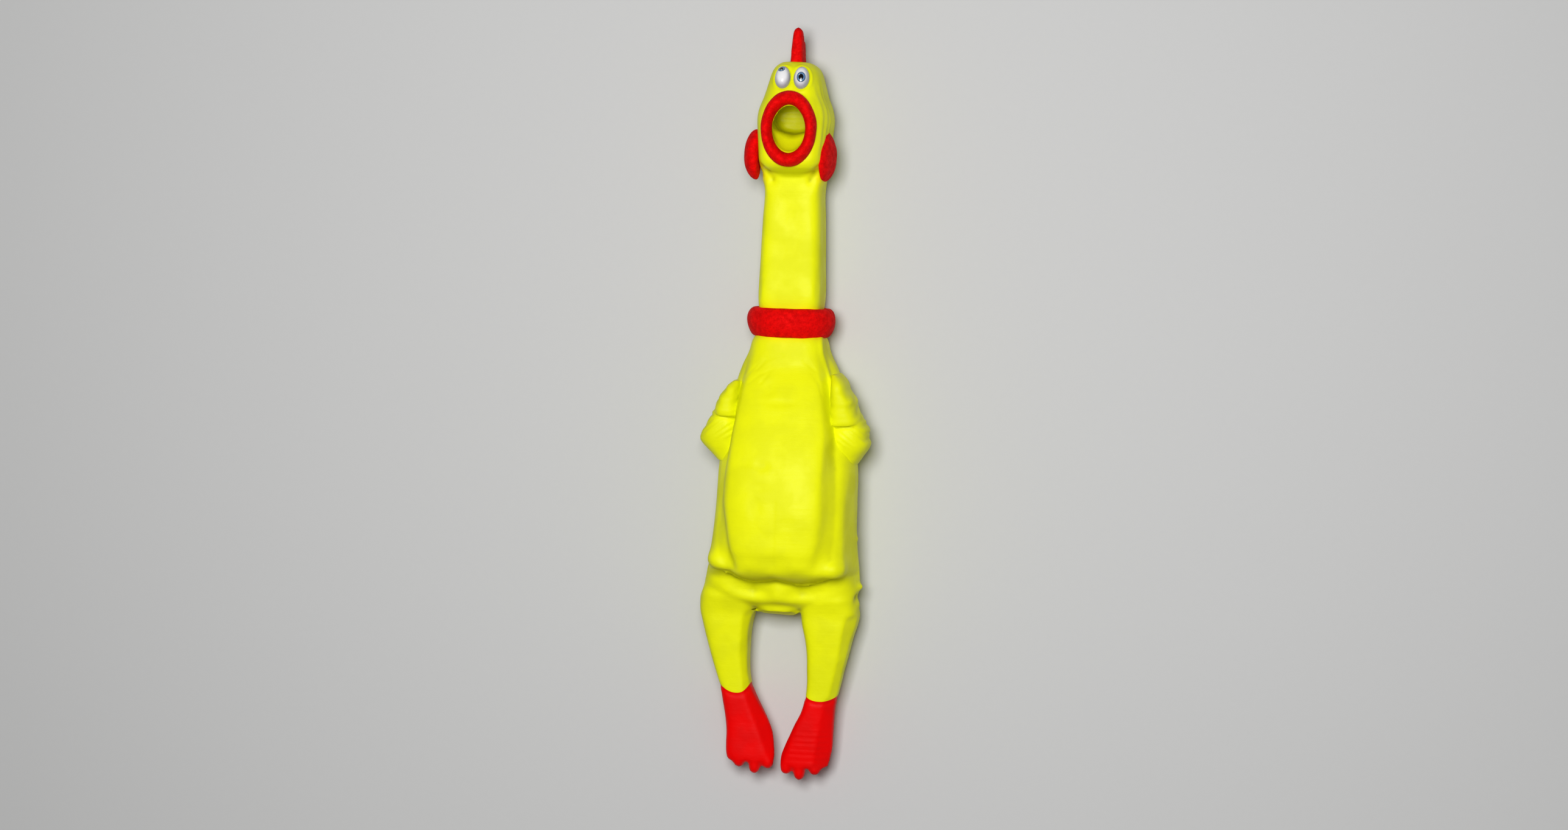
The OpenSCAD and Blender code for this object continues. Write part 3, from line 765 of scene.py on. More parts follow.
# For each side, from hip to toes: distances below the torso and from the mid-line, half width, half depth and
# squareness.
LEG_ROWS = {
    LEFT: [
        (-10, 25.8, 13.8, 14.0, 2.6), (2, 25.2, 14.5, 15.0, 3.2), (8, 25.6, 15.2, 14.6, 3.8),
        (14, 25.4, 14.3, 14.0, 4.4), (20, 25.2, 12.6, 13.2, 4.6), (26, 25.0, 11.4, 12.2, 4.6),
        (32, 24.6, 10.5, 11.2, 4.6), (38, 23.9, 9.7, 10.2, 4.6), (44, 23.4, 9.0, 9.3, 4.6),
        (50, 22.6, 8.5, 8.4, 4.6), (56, 21.4, 8.2, 7.9, 4.6), (62, 20.2, 8.8, 7.3, 4.6),
        (68, 18.6, 10.2, 6.7, 4.6), (74, 17.2, 11.4, 6.1, 4.4), (80, 15.8, 12.7, 5.5, 4.2),
        (86, 14.3, 13.3, 4.9, 4.0), (91, 14.1, 12.8, 4.3, 3.0),
    ],
    RIGHT: [
        (-10, 27.4, 13.6, 14.0, 2.6), (2, 29.0, 14.9, 15.0, 3.2), (8, 29.7, 14.4, 14.4, 3.8),
        (14, 29.6, 12.9, 13.6, 4.4), (20, 29.3, 11.7, 12.6, 4.6), (26, 28.6, 10.8, 11.6, 4.6),
        (32, 27.8, 9.9, 10.6, 4.6), (38, 26.8, 9.1, 9.6, 4.6), (44, 25.5, 8.5, 8.6, 4.6),
        (50, 23.8, 8.3, 7.8, 4.6), (56, 21.8, 9.2, 7.2, 4.6), (62, 19.6, 10.3, 6.6, 4.6),
        (68, 17.6, 11.4, 6.0, 4.4), (74, 16.3, 12.3, 5.5, 4.2), (80, 16.0, 12.8, 5.0, 4.0),
        (86, 15.6, 12.9, 4.6, 3.6), (89, 15.4, 12.3, 4.2, 3.0),
    ],
}  # fmt: skip
# How far the middle of the first sections stands above the leg's line.
HIP_RISE = (3.5, 1.5)
# Distance of each toe from the mid-line, and how far the toes reach past the CAD foot.
TOES = {LEFT: ((4.0, 11.2, 19.4), 1.0), RIGHT: ((6.1, 13.2, 21.6), 2.6)}
# How far the paint's edge lies below the ankle's top, and how much it rises at the sides.
PAINT_EDGE = {LEFT: (3.3, 2.6), RIGHT: (4.8, 5.0)}


def leg_sections(side):
    """Sections of one leg and the flat of its foot, from inside the hip down."""
    rises = [*HIP_RISE, *[0] * (len(LEG_ROWS[side]) - len(HIP_RISE))]
    rows = [(*row, rise) for row, rise in zip(LEG_ROWS[side], rises)]
    return [
        oval(TORSO_BOTTOM - d, half, LEG_Z + up - deep, LEG_Z + up + deep, square, side * x, 48)
        for d, x, half, deep, square, up in rows_between(rows, 60)
    ]


def add_toes(bm, side):
    """Three short blunt toes at the end of a foot, of which the middle one is the longest."""
    places, past = TOES[side]
    tip = box_mm(f"{SIDES[side]}_foot")[0][1] - past
    start = TORSO_BOTTOM - LEG_ROWS[side][-1][0] + 5
    for x, short in zip(places, (3.0, 0.0, 3.2)):
        rings = []
        for s in np.linspace(0, 1, 12):
            blunt = math.sqrt(max(1 - max(s - 0.70, 0) ** 2 / 0.30**2, 0.03))
            half, deep = (3.4 - 0.7 * s) * blunt, (4.4 - 0.9 * s) * blunt
            y = start + (tip + short - start) * s
            rings.append(oval(y, half, LEG_Z - deep, LEG_Z + deep, 2.3, side * x, 24))
        loft(bm, rings)


def add_tail(bm):
    """The blunt tip of the tail between the legs."""
    rings = []
    for s in np.linspace(0, 1, 16) ** 1.6:
        half = 1.0 + min(40 * s, 12.5)
        y = TAIL_TIP - 2.2 + 20 * s
        rings.append(oval(y, half, NECK_Z - 10 - 6 * s, NECK_Z + 11 + 4 * s, 2.3, -1.4, 32))
    loft(bm, rings)


def mouth_pocket():
    """The inside of the open mouth: its floor rises as it goes in."""
    bm = bmesh.new()
    half, tall = LIP_HALF - 6.2, LIP_TALL - 8.4
    rings = []
    # Depth behind the muzzle, rise of the floor and of the roof, and share of the width.
    for depth, floor, roof, wide in (
        (-12, 0.0, 0.0, 1.00),
        (2, 0.0, 0.0, 1.02),
        (5, 1.4, 0.8, 1.16),
        (9, 4.6, 1.0, 1.26),
        (12, 7.4, 1.0, 1.30),
        (15, 9.0, 1.0, 1.30),
        (23, 9.6, 0.8, 1.26),
        (26, 10.6, -0.4, 1.12),
    ):
        x, _, y = oval(0, half * wide, MUZZLE_Y - tall + floor, MUZZLE_Y + tall + roof, sides=48).T
        rings.append(np.stack([x, y, np.full(48, MUZZLE_Z - depth)], 1))
    loft(bm, rings)
    return mesh_object("mouth_pocket", bm)


def shape_torso(clay):
    """The raised bib with its two lobes, the flanks beside it, the hips and the creases of the torso."""
    x, y = clay.co[:, 0], clay.co[:, 1]
    deep = bpy.context.scene.chicken_skin.crease / MM

    # The bib stands proud, with steep edges beside the wings and softer ones beside the belly.
    pad_y = [torso_y(s) for s in (0.08, 0.14, 0.20, 0.28, 0.42, 0.58, 0.72, 0.86, 0.97, 1.08)]
    left_pad = np.interp(y, pad_y, [18, 22.5, 25, 26.5, 27.0, 27.0, 25.5, 22.5, 19.5, 16.5])
    right_pad = np.interp(y, pad_y, [16, 22.0, 26, 28.5, 29.0, 28.0, 26.5, 23.5, 20.5, 17.5])
    fall = np.interp(y, pad_y, [0, 2.0, 3.4, 4.8, 5.4, 8.5, 8.5, 8.0, 5.0, 0])
    left_reach = np.interp(y, pad_y, [6, 7, 9, 10, 10, 7, 5, 4.5, 4, 4])
    right_reach = np.interp(y, pad_y, [6, 6, 7, 8, 8, 7, 5, 4.5, 4, 4])
    outside = np.where(x > 0, (x - left_pad) / left_reach, (-x - right_pad) / right_reach) + 0.55
    clay.co[:, 2] -= fall * np.clip(outside, 0, 1) ** 2 * clay.front(-0.2, 0.2)
    clay.refresh()
    # Each flank turns at a ridge into its side.
    on_flank = clay.band(torso_y(0.08), torso_y(0.60), 6)
    clay.facet((35.0, torso_y(0.6), 49), (36.0, torso_y(0.1), 46), 78, 0.4, on_flank * (x > 0))
    clay.facet((-36.6, torso_y(0.1), 46), (-35.6, torso_y(0.6), 49), 72, 0.6, on_flank * (x < 0))
    clay.refresh()

    # The belly hangs over the hips in two lobes.
    fold_x = [-44, -36, -30, -22, -14, -7, -1, 5, 12, 20, 28, 36, 44]
    shares = [0.155, 0.148, 0.134, 0.104, 0.078, 0.084, 0.098, 0.086, 0.070, 0.086, 0.112, 0.124, 0.132]
    fold_y = [torso_y(s) for s in shares]
    x = clay.co[:, 0]
    drop = clay.co[:, 1] - np.interp(x, fold_x, fold_y)
    front = clay.front(-0.1, 0.4)
    below = (1 - smooth_step(-1.4, 0.8, drop)) * smooth_step(-13, -2.5, drop)
    lip = ridge(drop - 4.0, 3.6) * smooth_step(-0.5, 1.5, drop)
    edge = 1 - smooth_step(22, 40, np.abs(x))
    clay.co[:, 2] -= below * front * (2.4 + 3.6 * edge)
    clay.co[:, 2] += lip * front * (0.7 + 1.0 * edge)
    clay.co[:, 2] -= front * edge * 6.5 * np.clip(1 - drop / 18, 0, 1) ** 2 * (drop > 0)
    clay.co[:, 1] -= lip * front * (0.4 + 1.0 * edge)
    clay.refresh()
    clay.groove([(px, py - 0.7) for px, py in zip(fold_x, fold_y)], 1.7, 1.1, clay.front(-0.2, 0.4))

    # Valleys run down both sides between the bib and the flanks.
    left_valley = [(28.5, 0.66), (28.0, 0.52), (29, 0.38), (27, 0.27), (23, 0.17)]
    right_valley = [
        (-29, 0.78), (-31, 0.64), (-32.5, 0.52), (-32, 0.42), (-29.5, 0.32), (-26.5, 0.22), (-23, 0.15)
    ]  # fmt: skip
    clay.groove(on_torso(left_valley), 4.0, deep, clay.front(-0.05, 0.3))
    clay.groove(on_torso(right_valley), 3.2, deep * 1.6, clay.front(-0.05, 0.3))

    # Hip knobs, and the small diamond between two hollows under the belly.
    knob_z, hollow_z = TORSO_FRONT * 0.80, TORSO_FRONT * 0.66
    clay.bumps(
        ((30.5, torso_y(0.160), knob_z), (6.2, 4.6, 13), 3.4),
        ((-32.5, torso_y(0.180), knob_z), (5.6, 4.8, 13), 3.4),
        ((0.4, torso_y(0.045), hollow_z), (7.5, 5.0, 12), 2.4),
        ((-13.5, torso_y(0.050), hollow_z), (6.0, 3.6, 12), -1.5),
        ((12.5, torso_y(0.050), hollow_z), (6.0, 3.6, 12), -1.5),
    )
    clay.groove(on_torso([(-40, 0.012), (-20, 0.004), (20, 0.002), (38, 0.010)]), 2.4, -0.7)
    clay.refresh()

    # Small spikes of spilled vinyl on the mould's edge at the hips, and a bite beside one.
    clay.bumps(
        ((41, torso_y(0.062), 26), (5, 1.6, 3.0), 2.6),
        ((41, torso_y(0.020), 26), (5, 2.4, 5.0), -2.6),
        ((40, torso_y(-0.015), 24), (5, 2.6, 6.0), 1.6),
        ((40, torso_y(0.270), 27), (5, 1.3, 2.5), 0.9),
        ((-38, torso_y(0.325), 28), (5, 1.6, 2.5), 1.6),
        ((-45, torso_y(-0.005), 24), (5, 3.0, 6.0), 0.8),
    )
    clay.refresh()


def shape_bib(clay):
    """Fine folds of the bib under the collar, its raised corner, and shallow dents in the belly."""
    front = clay.front(0.2, 0.6)
    # The corner runs from the collar down beside the left wing.
    corner = [(17.5, COLLAR_LOW[1] + 1)]
    corner += [(px, TORSO_TOP + up) for px, up in ((18.6, 8), (21.0, 0), (24.0, -9), (25.5, -18))]
    clay.groove(corner, 1.0, -0.9, clay.front(-0.1, 0.3))
    clay.groove([(px + 2.6, py) for px, py in corner], 1.3, 1.1, clay.front(-0.4, 0.1))
    for line, width, depth in (
        ([(-15, 0.985), (-10, 1.025), (-5, 1.045), (-1, 1.048)], 0.55, 0.42),
        ([(-20, 0.960), (-15, 1.005), (-10, 1.035)], 0.6, 0.25),
        ([(-19, 0.925), (-13, 0.965), (-7, 0.985)], 0.7, 0.22),
        ([(-12, 0.930), (-10, 0.952), (-8.5, 0.968)], 0.7, 0.35),
        ([(6, 1.055), (12, 1.030), (17, 0.985)], 0.6, 0.22),
        ([(10, 1.030), (16, 0.985), (19.5, 0.930)], 0.6, 0.25),
        ([(14, 0.985), (18.5, 0.935), (21, 0.885)], 0.6, 0.25),
        ([(0.4, 0.44), (0.2, 0.28), (0.0, 0.11)], 0.8, 0.22),
    ):
        clay.groove(on_torso(line), width, depth, front)
    # Distance from the mid-line, share of the torso's length, half width, half height and depth of each dent.
    for px, share, wide, tall, depth in (
        (-7.5, 0.905, 4.0, 4.5, 0.55),
        (-1.0, 0.852, 8.0, 2.2, 0.40),
        (-17, 0.600, 5.0, 2.6, 0.45),
        (-7.5, 0.590, 4.0, 3.0, 0.65),
        (-9, 0.500, 6.0, 2.6, 0.40),
        (-10, 0.410, 4.0, 6.0, 0.45),
        (8, 0.350, 5.0, 3.0, 0.25),
    ):
        away = (clay.co[:, :2] - np.array([px, torso_y(share)])) / np.array([wide, tall])
        clay.push(-depth * np.exp(-((away**2).sum(1) ** 1.5)) * front)
    clay.push(waves(clay.co, 26, 3) * 0.16 * clay.band(torso_y(0.1), TORSO_TOP, 8))
    clay.refresh()


def shape_neck(clay):
    """The flat front of the neck with its turned-back sides."""
    bottom, top, front_z = COLLAR_HIGH[1] - 2, HEAD_LOW[1] - 1, NECK_Z + NECK_DEEP
    on_neck = clay.band(bottom, top, 2)
    clay.facet((12.6, top, front_z - 0.8), (14.4, bottom, front_z), 60, 0.5, on_neck)
    clay.facet((-14.2, bottom, front_z), (-12.4, top, front_z - 0.8), 62, 0.5, on_neck)
    clay.refresh()
    x, y = clay.co[:, 0], clay.co[:, 1]
    front = clay.front(0.3, 0.7)
    # Distances from the mid-line and below the neck's top, half width, half height and depth of each dent.
    for px, down, wide, tall, depth in ((-3, 6, 6, 7, 0.6), (4, 16, 5, 6, 0.45), (-5, 27, 6, 5, 0.35)):
        away = ((x - px) / wide) ** 2 + ((y - TUBE_HIGH[1] + down) / tall) ** 2
        clay.push(-depth * np.exp(-away) * front)
    clay.push(waves(clay.co * [0.25, 1, 0.25], 7, 5) * 0.07 * on_neck * front)
    clay.refresh()


def shape_head(clay):
    """The flat muzzle and brow, the jaw with its two hollows and the cheeks' facets."""
    y, z = clay.co[:, 1], clay.co[:, 2]
    low, high = HEAD_LOW[1], HEAD_HIGH[1]
    clay.flatten((0, 0, MUZZLE_Z), (0, 0, 1), 0.6, smooth_step(low - 3, low + 6, y))
    brow = (0, math.sin(BROW_TILT), math.cos(BROW_TILT))
    clay.flatten((0, BROW_Y, BROW_Z), brow, 1.2, smooth_step(MUZZLE_Y + 12, MUZZLE_Y + 19, y))
    clay.refresh()
    # The sides turn away sharply beside the lips and beside the eyes.
    cheek = clay.band(low + 1, head_y(0.68), 3)
    clay.facet((15.4, head_y(0.66), MUZZLE_Z), (15.4, low + 2, MUZZLE_Z), 76, 0.4, cheek)
    clay.facet((-15.6, low + 2, MUZZLE_Z), (-15.6, head_y(0.66), MUZZLE_Z), 74, 0.4, cheek)
    temple = smooth_step(head_y(0.66), head_y(0.74), y)
    clay.facet((8.6, high + 1, BROW_Z - 4.5), (13.4, head_y(0.68), BROW_Z + 4.5), 60, 0.5, temple)
    clay.facet((-13.0, head_y(0.68), BROW_Z + 4.5), (-8.8, high + 1, BROW_Z - 4.5), 60, 0.6, temple)
    clay.refresh()

    # Cheekbones swell behind the facets, with soft streaks in the hollow above them.
    clay.bumps(
        ((20, head_y(0.48), 30), (5, 6, 14), 1.2),
        ((-20, head_y(0.48), 30), (5, 6, 14), 0.5),
        ((18.5, head_y(0.70), 32), (5, 4.5, 16), -0.9),
        ((-19, head_y(0.66), 30), (5, 3.5, 16), -0.8),
    )
    streaked = smooth_step(0.5, 0.9, clay.normal[:, 0]) * clay.band(head_y(0.2), head_y(0.8), 4)
    clay.push(0.25 * np.sin(z * TURN / 5.5 + 0.15 * y) * streaked)

    # A dip between the eyes, and a small peak where the comb grows.
    clay.bumps(
        ((0, BROW_Y + 1, BROW_Z), (2.0, 6.5, 5), -0.8),
        ((-0.5, high, NECK_Z + 2), (4.2, 3, 9), 1.4),
        ((5, high - 2, NECK_Z + 10), (3.2, 3, 5), 0.6),
        ((-6, high - 2, NECK_Z + 12), (4, 3, 5), 0.7),
    )
    clay.refresh()

    # The jaw ends in a ledge over the throat, with a shallow hollow at each corner.
    ledge = ((-17, 4), (-12, 0.4), (-6, -1.4), (6, -1.4), (12, 0.4), (17, 4))
    clay.groove([(px, low + up) for px, up in ledge], 1.5, 1.3)
    for side in (LEFT, RIGHT):
        for line, width, depth in (
            (((16.0, 3), (13.0, 0.5), (10.0, -3.0)), 1.9, 1.9),
            (((14.8, 0.5), (13.6, -4), (12.6, -9)), 1.6, -0.6),
        ):
            clay.groove([(side * px, low + up) for px, up in line], width, depth)
        clay.bumps(((side * 17.0, low - 3, NECK_Z + 6), (3.2, 2.6, 6), 1.3))
    clay.refresh()
    # Level bands and a middle seam deep in the mouth.
    bands = 0.30 * np.sin(clay.co[:, 1] * TURN / 4.6)
    clay.push(mouth_depth(clay.co) * (bands - 0.4 * ridge(clay.co[:, 0], 0.7)))
    clay.refresh()


def mouth_depth(co):
    """From 0 at the lips to 1 in the throat behind the mouth's floor."""
    x, y, z = co.T
    inside = (np.abs(x) < 12.4) & (np.abs(y - MUZZLE_Y) < 16.5) & (z > NECK_Z - 6)
    return inside * smooth_step(10.5, 15.5, MUZZLE_Z - z)


def socket_lids(clay):
    """Thin lids that rise round each eye, with a shallow crease inside them."""
    for side in (LEFT, RIGHT):
        u, v, out = on_brow(clay.co, side)
        ring = np.hypot(u / EYE_HALF, v / EYE_TALL)
        clay.push((ridge(ring - 1.24, 0.13) * 0.55 - np.exp(-(ring**6)) * 0.5) * (np.abs(out) < 6))
    clay.refresh()


# Each facet: the edge of the leg it lies on, where it starts and ends below the torso, the shares of the half
# width where the flat front ends there, and how steeply it turns away.
LEG_FACETS = {
    LEFT: (
        (1, 8, 31, 0.62, 0.62, 56),
        (1, 31, 53, 0.62, 0.50, 54),
        (1, 53, 92, 0.30, 0.33, 38),
        (-1, 8, 31, -0.82, -0.82, 60),
        (-1, 31, 53, -0.82, -0.84, 60),
        (-1, 53, 92, -0.90, -0.95, 60),
    ),
    RIGHT: (
        (1, 8, 31, 0.66, 0.62, 56),
        (1, 31, 51, 0.62, 0.46, 52),
        (1, 51, 88, 0.46, 0.80, 44),
        (-1, 8, 31, -0.84, -0.84, 62),
        (-1, 31, 51, -0.84, -0.84, 60),
        (-1, 51, 92, -0.90, -0.93, 60),
    ),
}


def leg_at(side, down, *columns):
    """The leg table's distance from the mid-line, half width or half depth at a distance below the torso."""
    rows = np.array(LEG_ROWS[side])
    return [np.interp(down, rows[:, 0], rows[:, column]) for column in columns]


def shape_legs(clay):
    """Facets along the legs and across the feet."""

    def flat_end(side, d, share):
        x, half, deep = leg_at(side, d, 1, 2, 3)
        return side * x + share * half, TORSO_BOTTOM - d, LEG_Z + deep - 0.2

    for side in (LEFT, RIGHT):
        this = np.sign(clay.co[:, 0]) == side
        for edge, start, end, first, last, steep in LEG_FACETS[side]:
            down = TORSO_BOTTOM - clay.co[:, 1]
            part = this * smooth_step(start - 1.5, start + 1.5, down)
            part = part * (1 - smooth_step(end - 1.5, end + 1.5, down))
            ends = (flat_end(side, start, first), flat_end(side, end, last))
            clay.facet(*ends[::edge], steep, 0.3, part)
    clay.refresh()


def paint_mask(co, side):
    """More than 0 where a foot is painted red, in millimetres from the paint's edge."""
    below, rise = PAINT_EDGE[side]
    down = TORSO_BOTTOM - co[:, 1]
    x, half = leg_at(side, down, 1, 2)
    across = np.clip(np.abs((co[:, 0] - side * x) / half), 0, 1)
    return box_mm(f"{SIDES[side]}_ankle_skin")[1][1] - below + rise * across**2.2 - co[:, 1]


def shape_feet(clay):
    """A crease below each ankle, and level lines across the left foot."""
    x, y = clay.co[:, 0], clay.co[:, 1]
    for side in (LEFT, RIGHT):
        this = np.sign(x) == side
        edge = paint_mask(clay.co, side)
        clay.push(-0.45 * ridge(edge - 1.3, 1.1) * this)
        clay.push(0.16 * smooth_step(-0.3, 0.3, edge) * this)
    lines = np.sin(y * TURN / 3.1) + 0.6 * np.sin(y * TURN / 1.9 + 1)
    low, high = box_mm("left_foot")
    where = clay.band(low[1] + 9, high[1] - 11, 3) * clay.front(0.6, 0.9) * (x > 0)
    clay.push(0.10 * lines * where)
    clay.refresh()


def whole_skin():
    """The one moulded skin, from the toes to the crown."""
    trunk = bmesh.new()
    loft(trunk, trunk_sections())
    trunk = mesh_object("skin", trunk)
    pocket = mouth_pocket()
    modified(trunk, "BOOLEAN", operation="DIFFERENCE", solver="EXACT", object=pocket)
    bpy.data.objects.remove(pocket)

    limbs = bmesh.new()
    for side in (LEFT, RIGHT):
        loft(limbs, leg_sections(side))
        add_toes(limbs, side)
    add_tail(limbs)
    in_metres(limbs)
    limbs.from_mesh(trunk.data)
    limbs.to_mesh(trunk.data)
    limbs.free()

    voxel = bpy.context.scene.chicken_skin.voxel / MM
    fuse(trunk, voxel * 1.15)
    clay = Clay(trunk)
    for shape in (shape_torso, shape_neck, shape_head, shape_legs):
        shape(clay)
    clay.co[:, 2] = np.maximum(clay.co[:, 2], 0)
    clay.refresh()
    fuse(trunk, voxel)
    relax(trunk, 0.5, 5)
    clay = Clay(trunk)
    for shape in (shape_bib, socket_lids, shape_feet):
        shape(clay)
    return relax(trunk, 0.4, 1)


def skin_part(x, y):
    """The name of the piece that a point of the skin belongs to. The tail's tip stays with the torso."""
    if y > SEAMS["neck"]:
        return "head_skin"
    if y > SEAMS["collar"]:
        return "lower_neck_skin"
    if y > SEAMS["root"]:
        return "neck_root"
    if y > SEAMS["crotch"] or -13.4 < x < 9.8 and y > SEAMS["crotch"] - 8:
        return "torso_skin"
    side = LEFT if x > 0 else RIGHT
    return f"{SIDES[side]}_leg_skin" if y > SEAMS[side] else f"{SIDES[side]}_foot_skin"


def cut_skin(skin):
    """Cuts the skin into pieces along level planes and returns a function that makes one piece."""
    bm = bmesh.new()
    bm.from_mesh(skin.data)
    for y in SEAMS.values():
        everything = [*bm.verts, *bm.edges, *bm.faces]
        bmesh.ops.bisect_plane(bm, geom=everything, dist=1e-7, plane_co=(0, y * MM, 0), plane_no=(0, 1, 0))
    bm.normal_update()
    whole = bpy.data.meshes.new("whole")
    bm.to_mesh(whole)
    bm.free()
    co, normal = points_of(whole), normals_of(whole)
    # The crease mask drives the painted shade in the materials.
    crease_shade = hollows(whole, 7, 2.6)
    parts = np.array([skin_part(*np.array(p.center)[:2] / MM) for p in whole.polygons])

    def make(name):
        part = bmesh.new()
        part.from_mesh(whole)
        part.faces.ensure_lookup_table()
        order = part.verts.layers.int.new("order")
        for v in part.verts:
            v[order] = v.index
        bmesh.ops.delete(part, geom=[f for f in part.faces if parts[f.index] != name], context="FACES")
        bmesh.ops.holes_fill(part, edges=[e for e in part.edges if e.is_boundary], sides=0)
        keep = [v[order] for v in part.verts]
        mesh = bpy.data.meshes.new(name)
        part.to_mesh(mesh)
        part.free()
        mesh.attributes.remove(mesh.attributes["order"])
        mesh.shade_smooth()
        mesh.normals_split_custom_set_from_vertices(normal[keep])
        set_mask(mesh, "crease", crease_shade[keep])
        # The deep mask drives the painted shade in the throat.
        set_mask(mesh, "deep", mouth_depth(co[keep]))
        return linked(name, mesh)

    return make


HEAD_NODES = ("neck_tube", "throat_skin", "head_shell")


class CHICKEN_OT_skin(bpy.types.Operator):
    """Mould the yellow vinyl skin and its painted feet"""

    bl_idname = "chicken.skin"
    bl_label = "Skin"

    def execute(self, context):
        skin = whole_skin()
        make = cut_skin(skin)
        bpy.data.objects.remove(skin)
        yellow, painted = vinyl_material(False), vinyl_material(True)

        torso = make("torso_skin")
        dress(torso, yellow)
        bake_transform(torso)
        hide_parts("back_shell", "belly_shell", "flank_skin", "tail_nub")

        for name, a, b, start, end, nodes in (
            ("neck_root", "torso", "neck_base", TORSO_TOP, COLLAR_LOW[1], ("neck_root_skin", "neck_ring")),
            ("lower_neck_skin", "neck_base", "neck", COLLAR_HIGH[1], TUBE_LOW[1], ("neck_fold_skin",)),
            ("head_skin", "neck", "head", TUBE_HIGH[1], HEAD_LOW[1], HEAD_NODES),
        ):
            piece = make(name)
            dress(piece, yellow)
            bend(piece)
            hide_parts(*nodes)

        for side, word in SIDES.items():
            leg = make(f"{word}_leg_skin")
            dress(leg, yellow)
            bend(leg)
            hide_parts(f"{word}_hip_skin", f"{word}_leg")
            foot = make(f"{word}_foot_skin")
            set_mask(foot.data, "paint", paint_mask(points_of(foot.data), side))
            dress(foot, painted)
            bend(foot)
            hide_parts(f"{word}_ankle_skin", f"{word}_foot")
        return {"FINISHED"}


# ---------- Wings ----------

# For each side and part of a wing: height on the torso, distance of its edge from the mid-line and height of
# its front.
COVERT_ROWS = {
    LEFT: [
        (55.0, 27.5, 41.0), (52.5, 30.6, 45.0), (49.5, 32.6, 47.5), (47.0, 33.2, 48.0), (44.0, 35.4, 49.0),
        (41.0, 37.6, 49.0), (38.0, 37.6, 49.0), (35.0, 38.9, 49.0), (31.0, 40.2, 48.8), (29.0, 40.0, 48.0),
    ],
    RIGHT: [
        (50.0, 28.0, 41.0), (47.5, 31.0, 45.0), (45.0, 32.4, 47.0), (42.0, 34.6, 48.5), (39.0, 36.0, 49.0),
        (36.0, 36.4, 49.0), (33.5, 36.9, 48.8), (32.0, 36.7, 48.0),
    ],
}  # fmt: skip
FLIGHT_ROWS = {
    LEFT: [
        (36.0, 34.0, 42.0), (32.0, 39.0, 45.0), (28.0, 43.6, 46.4), (25.0, 44.3, 46.8), (22.0, 44.0, 46.8),
        (18.8, 45.2, 46.0), (15.5, 44.0, 44.4), (12.0, 41.4, 42.0), (9.0, 39.4, 39.6), (5.5, 36.6, 36.0),
    ],
    RIGHT: [
        (38.0, 33.0, 42.0), (35.0, 36.0, 45.0), (31.5, 39.6, 46.4), (28.0, 41.2, 46.8), (24.0, 43.4, 46.6),
        (20.5, 45.2, 46.0), (18.0, 45.4, 45.0), (15.0, 43.2, 43.6), (11.0, 39.4, 41.0), (7.0, 36.0, 38.0),
    ],
}  # fmt: skip
WING_BACK = 17.0
WING_INNER = 24.0


def hug(clay, body, depth):
    """Draws back whatever lies inside body to just below its surface, so that one piece wraps the other."""
    tree = BVHTree.FromObject(body, bpy.context.evaluated_depsgraph_get())
    for i, point in enumerate(clay.co):
        near, normal, _, _ = tree.find_nearest(Vector(point * MM))
        if (Vector(point * MM) - near).dot(normal) < -depth * MM:
            clay.co[i] = np.array(near - normal * depth * MM) / MM
    clay.refresh()


def wing_shell(side):
    """A folded wing: short covert feathers that overlap a lower part, which comes to a point at the elbow."""
    bm = bmesh.new()
    for table in (COVERT_ROWS, FLIGHT_ROWS):
        rings = []
        for down, out, front in rows_between([(-y, out, front) for y, out, front in table[side]], 26):
            half, middle = (out - WING_INNER) / 2, side * (out + WING_INNER) / 2
            rings.append(oval(-down, half, WING_BACK, front, 2.8, middle, 40))
        loft(bm, rings)
    wing = fuse(mesh_object(f"{SIDES[side]}_wing_skin", bm), 0.62)
    clay = Clay(wing)
    x, y, z = clay.co.T
    step = COVERT_ROWS[side][-1][0]
    # The covert's edge stands over the lower part, and the lower part has slanting feather lines.
    edge = y - step - (np.abs(x) - 36) * 0.10
    clay.push(0.7 * smooth_step(-0.5, 0.5, edge) * (1 - smooth_step(0.5, 9, edge)))
    clay.push(-0.5 * ridge(edge + 0.9, 0.9))
    slant = (y - step) * 0.80 + np.abs(x) * 0.60
    flight = smooth_step(1.5, 4, -edge) * (1 - smooth_step(9, 13, -edge))
    clay.push(0.20 * np.sin(slant * TURN / 2.6 + 0.8 * np.sin(z * 0.5)) * flight)
    covert = smooth_step(1, 4, edge) * (1 - smooth_step(13, 17, edge))
    clay.push(0.22 * np.sin((y + z * 0.35) * TURN / 5.6) * covert)
    # The front falls to the elbow and to the flank in two facets.
    lower = smooth_step(-0.5, 1.5, -edge)
    low = 24 if side == LEFT else 25
    elbow = [(side * 33.0, step - low, 43), (side * 45.5, step - low + 14, 44.5)]
    flank = [(side * 41.0, step - 4, 46), (side * 41.0, step - 20, 44)]
    clay.facet(*elbow, -50 * side, 0.6, lower)
    clay.facet(*flank[::side], 48, 0.6, lower)
    clay.refresh()
    relax(wing, 0.5, 1)
    hug(Clay(wing), bpy.data.objects["torso_skin"], 0.7)
    # The crease mask drives the painted shade in the vinyl.
    set_mask(wing.data, "crease", hollows(wing.data, 8, 2.0))
    return wing


class CHICKEN_OT_wings(bpy.types.Operator):
    """Mould the two folded wings"""

    bl_idname = "chicken.wings"
    bl_label = "Wings"

    def execute(self, context):
        for side, word in SIDES.items():
            wing = wing_shell(side)
            dress(wing, vinyl_material(False))
            bend(wing)
            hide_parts(f"{word}_wing", f"{word}_wing_root")
        return {"FINISHED"}


# ---------- Red trimmings ----------


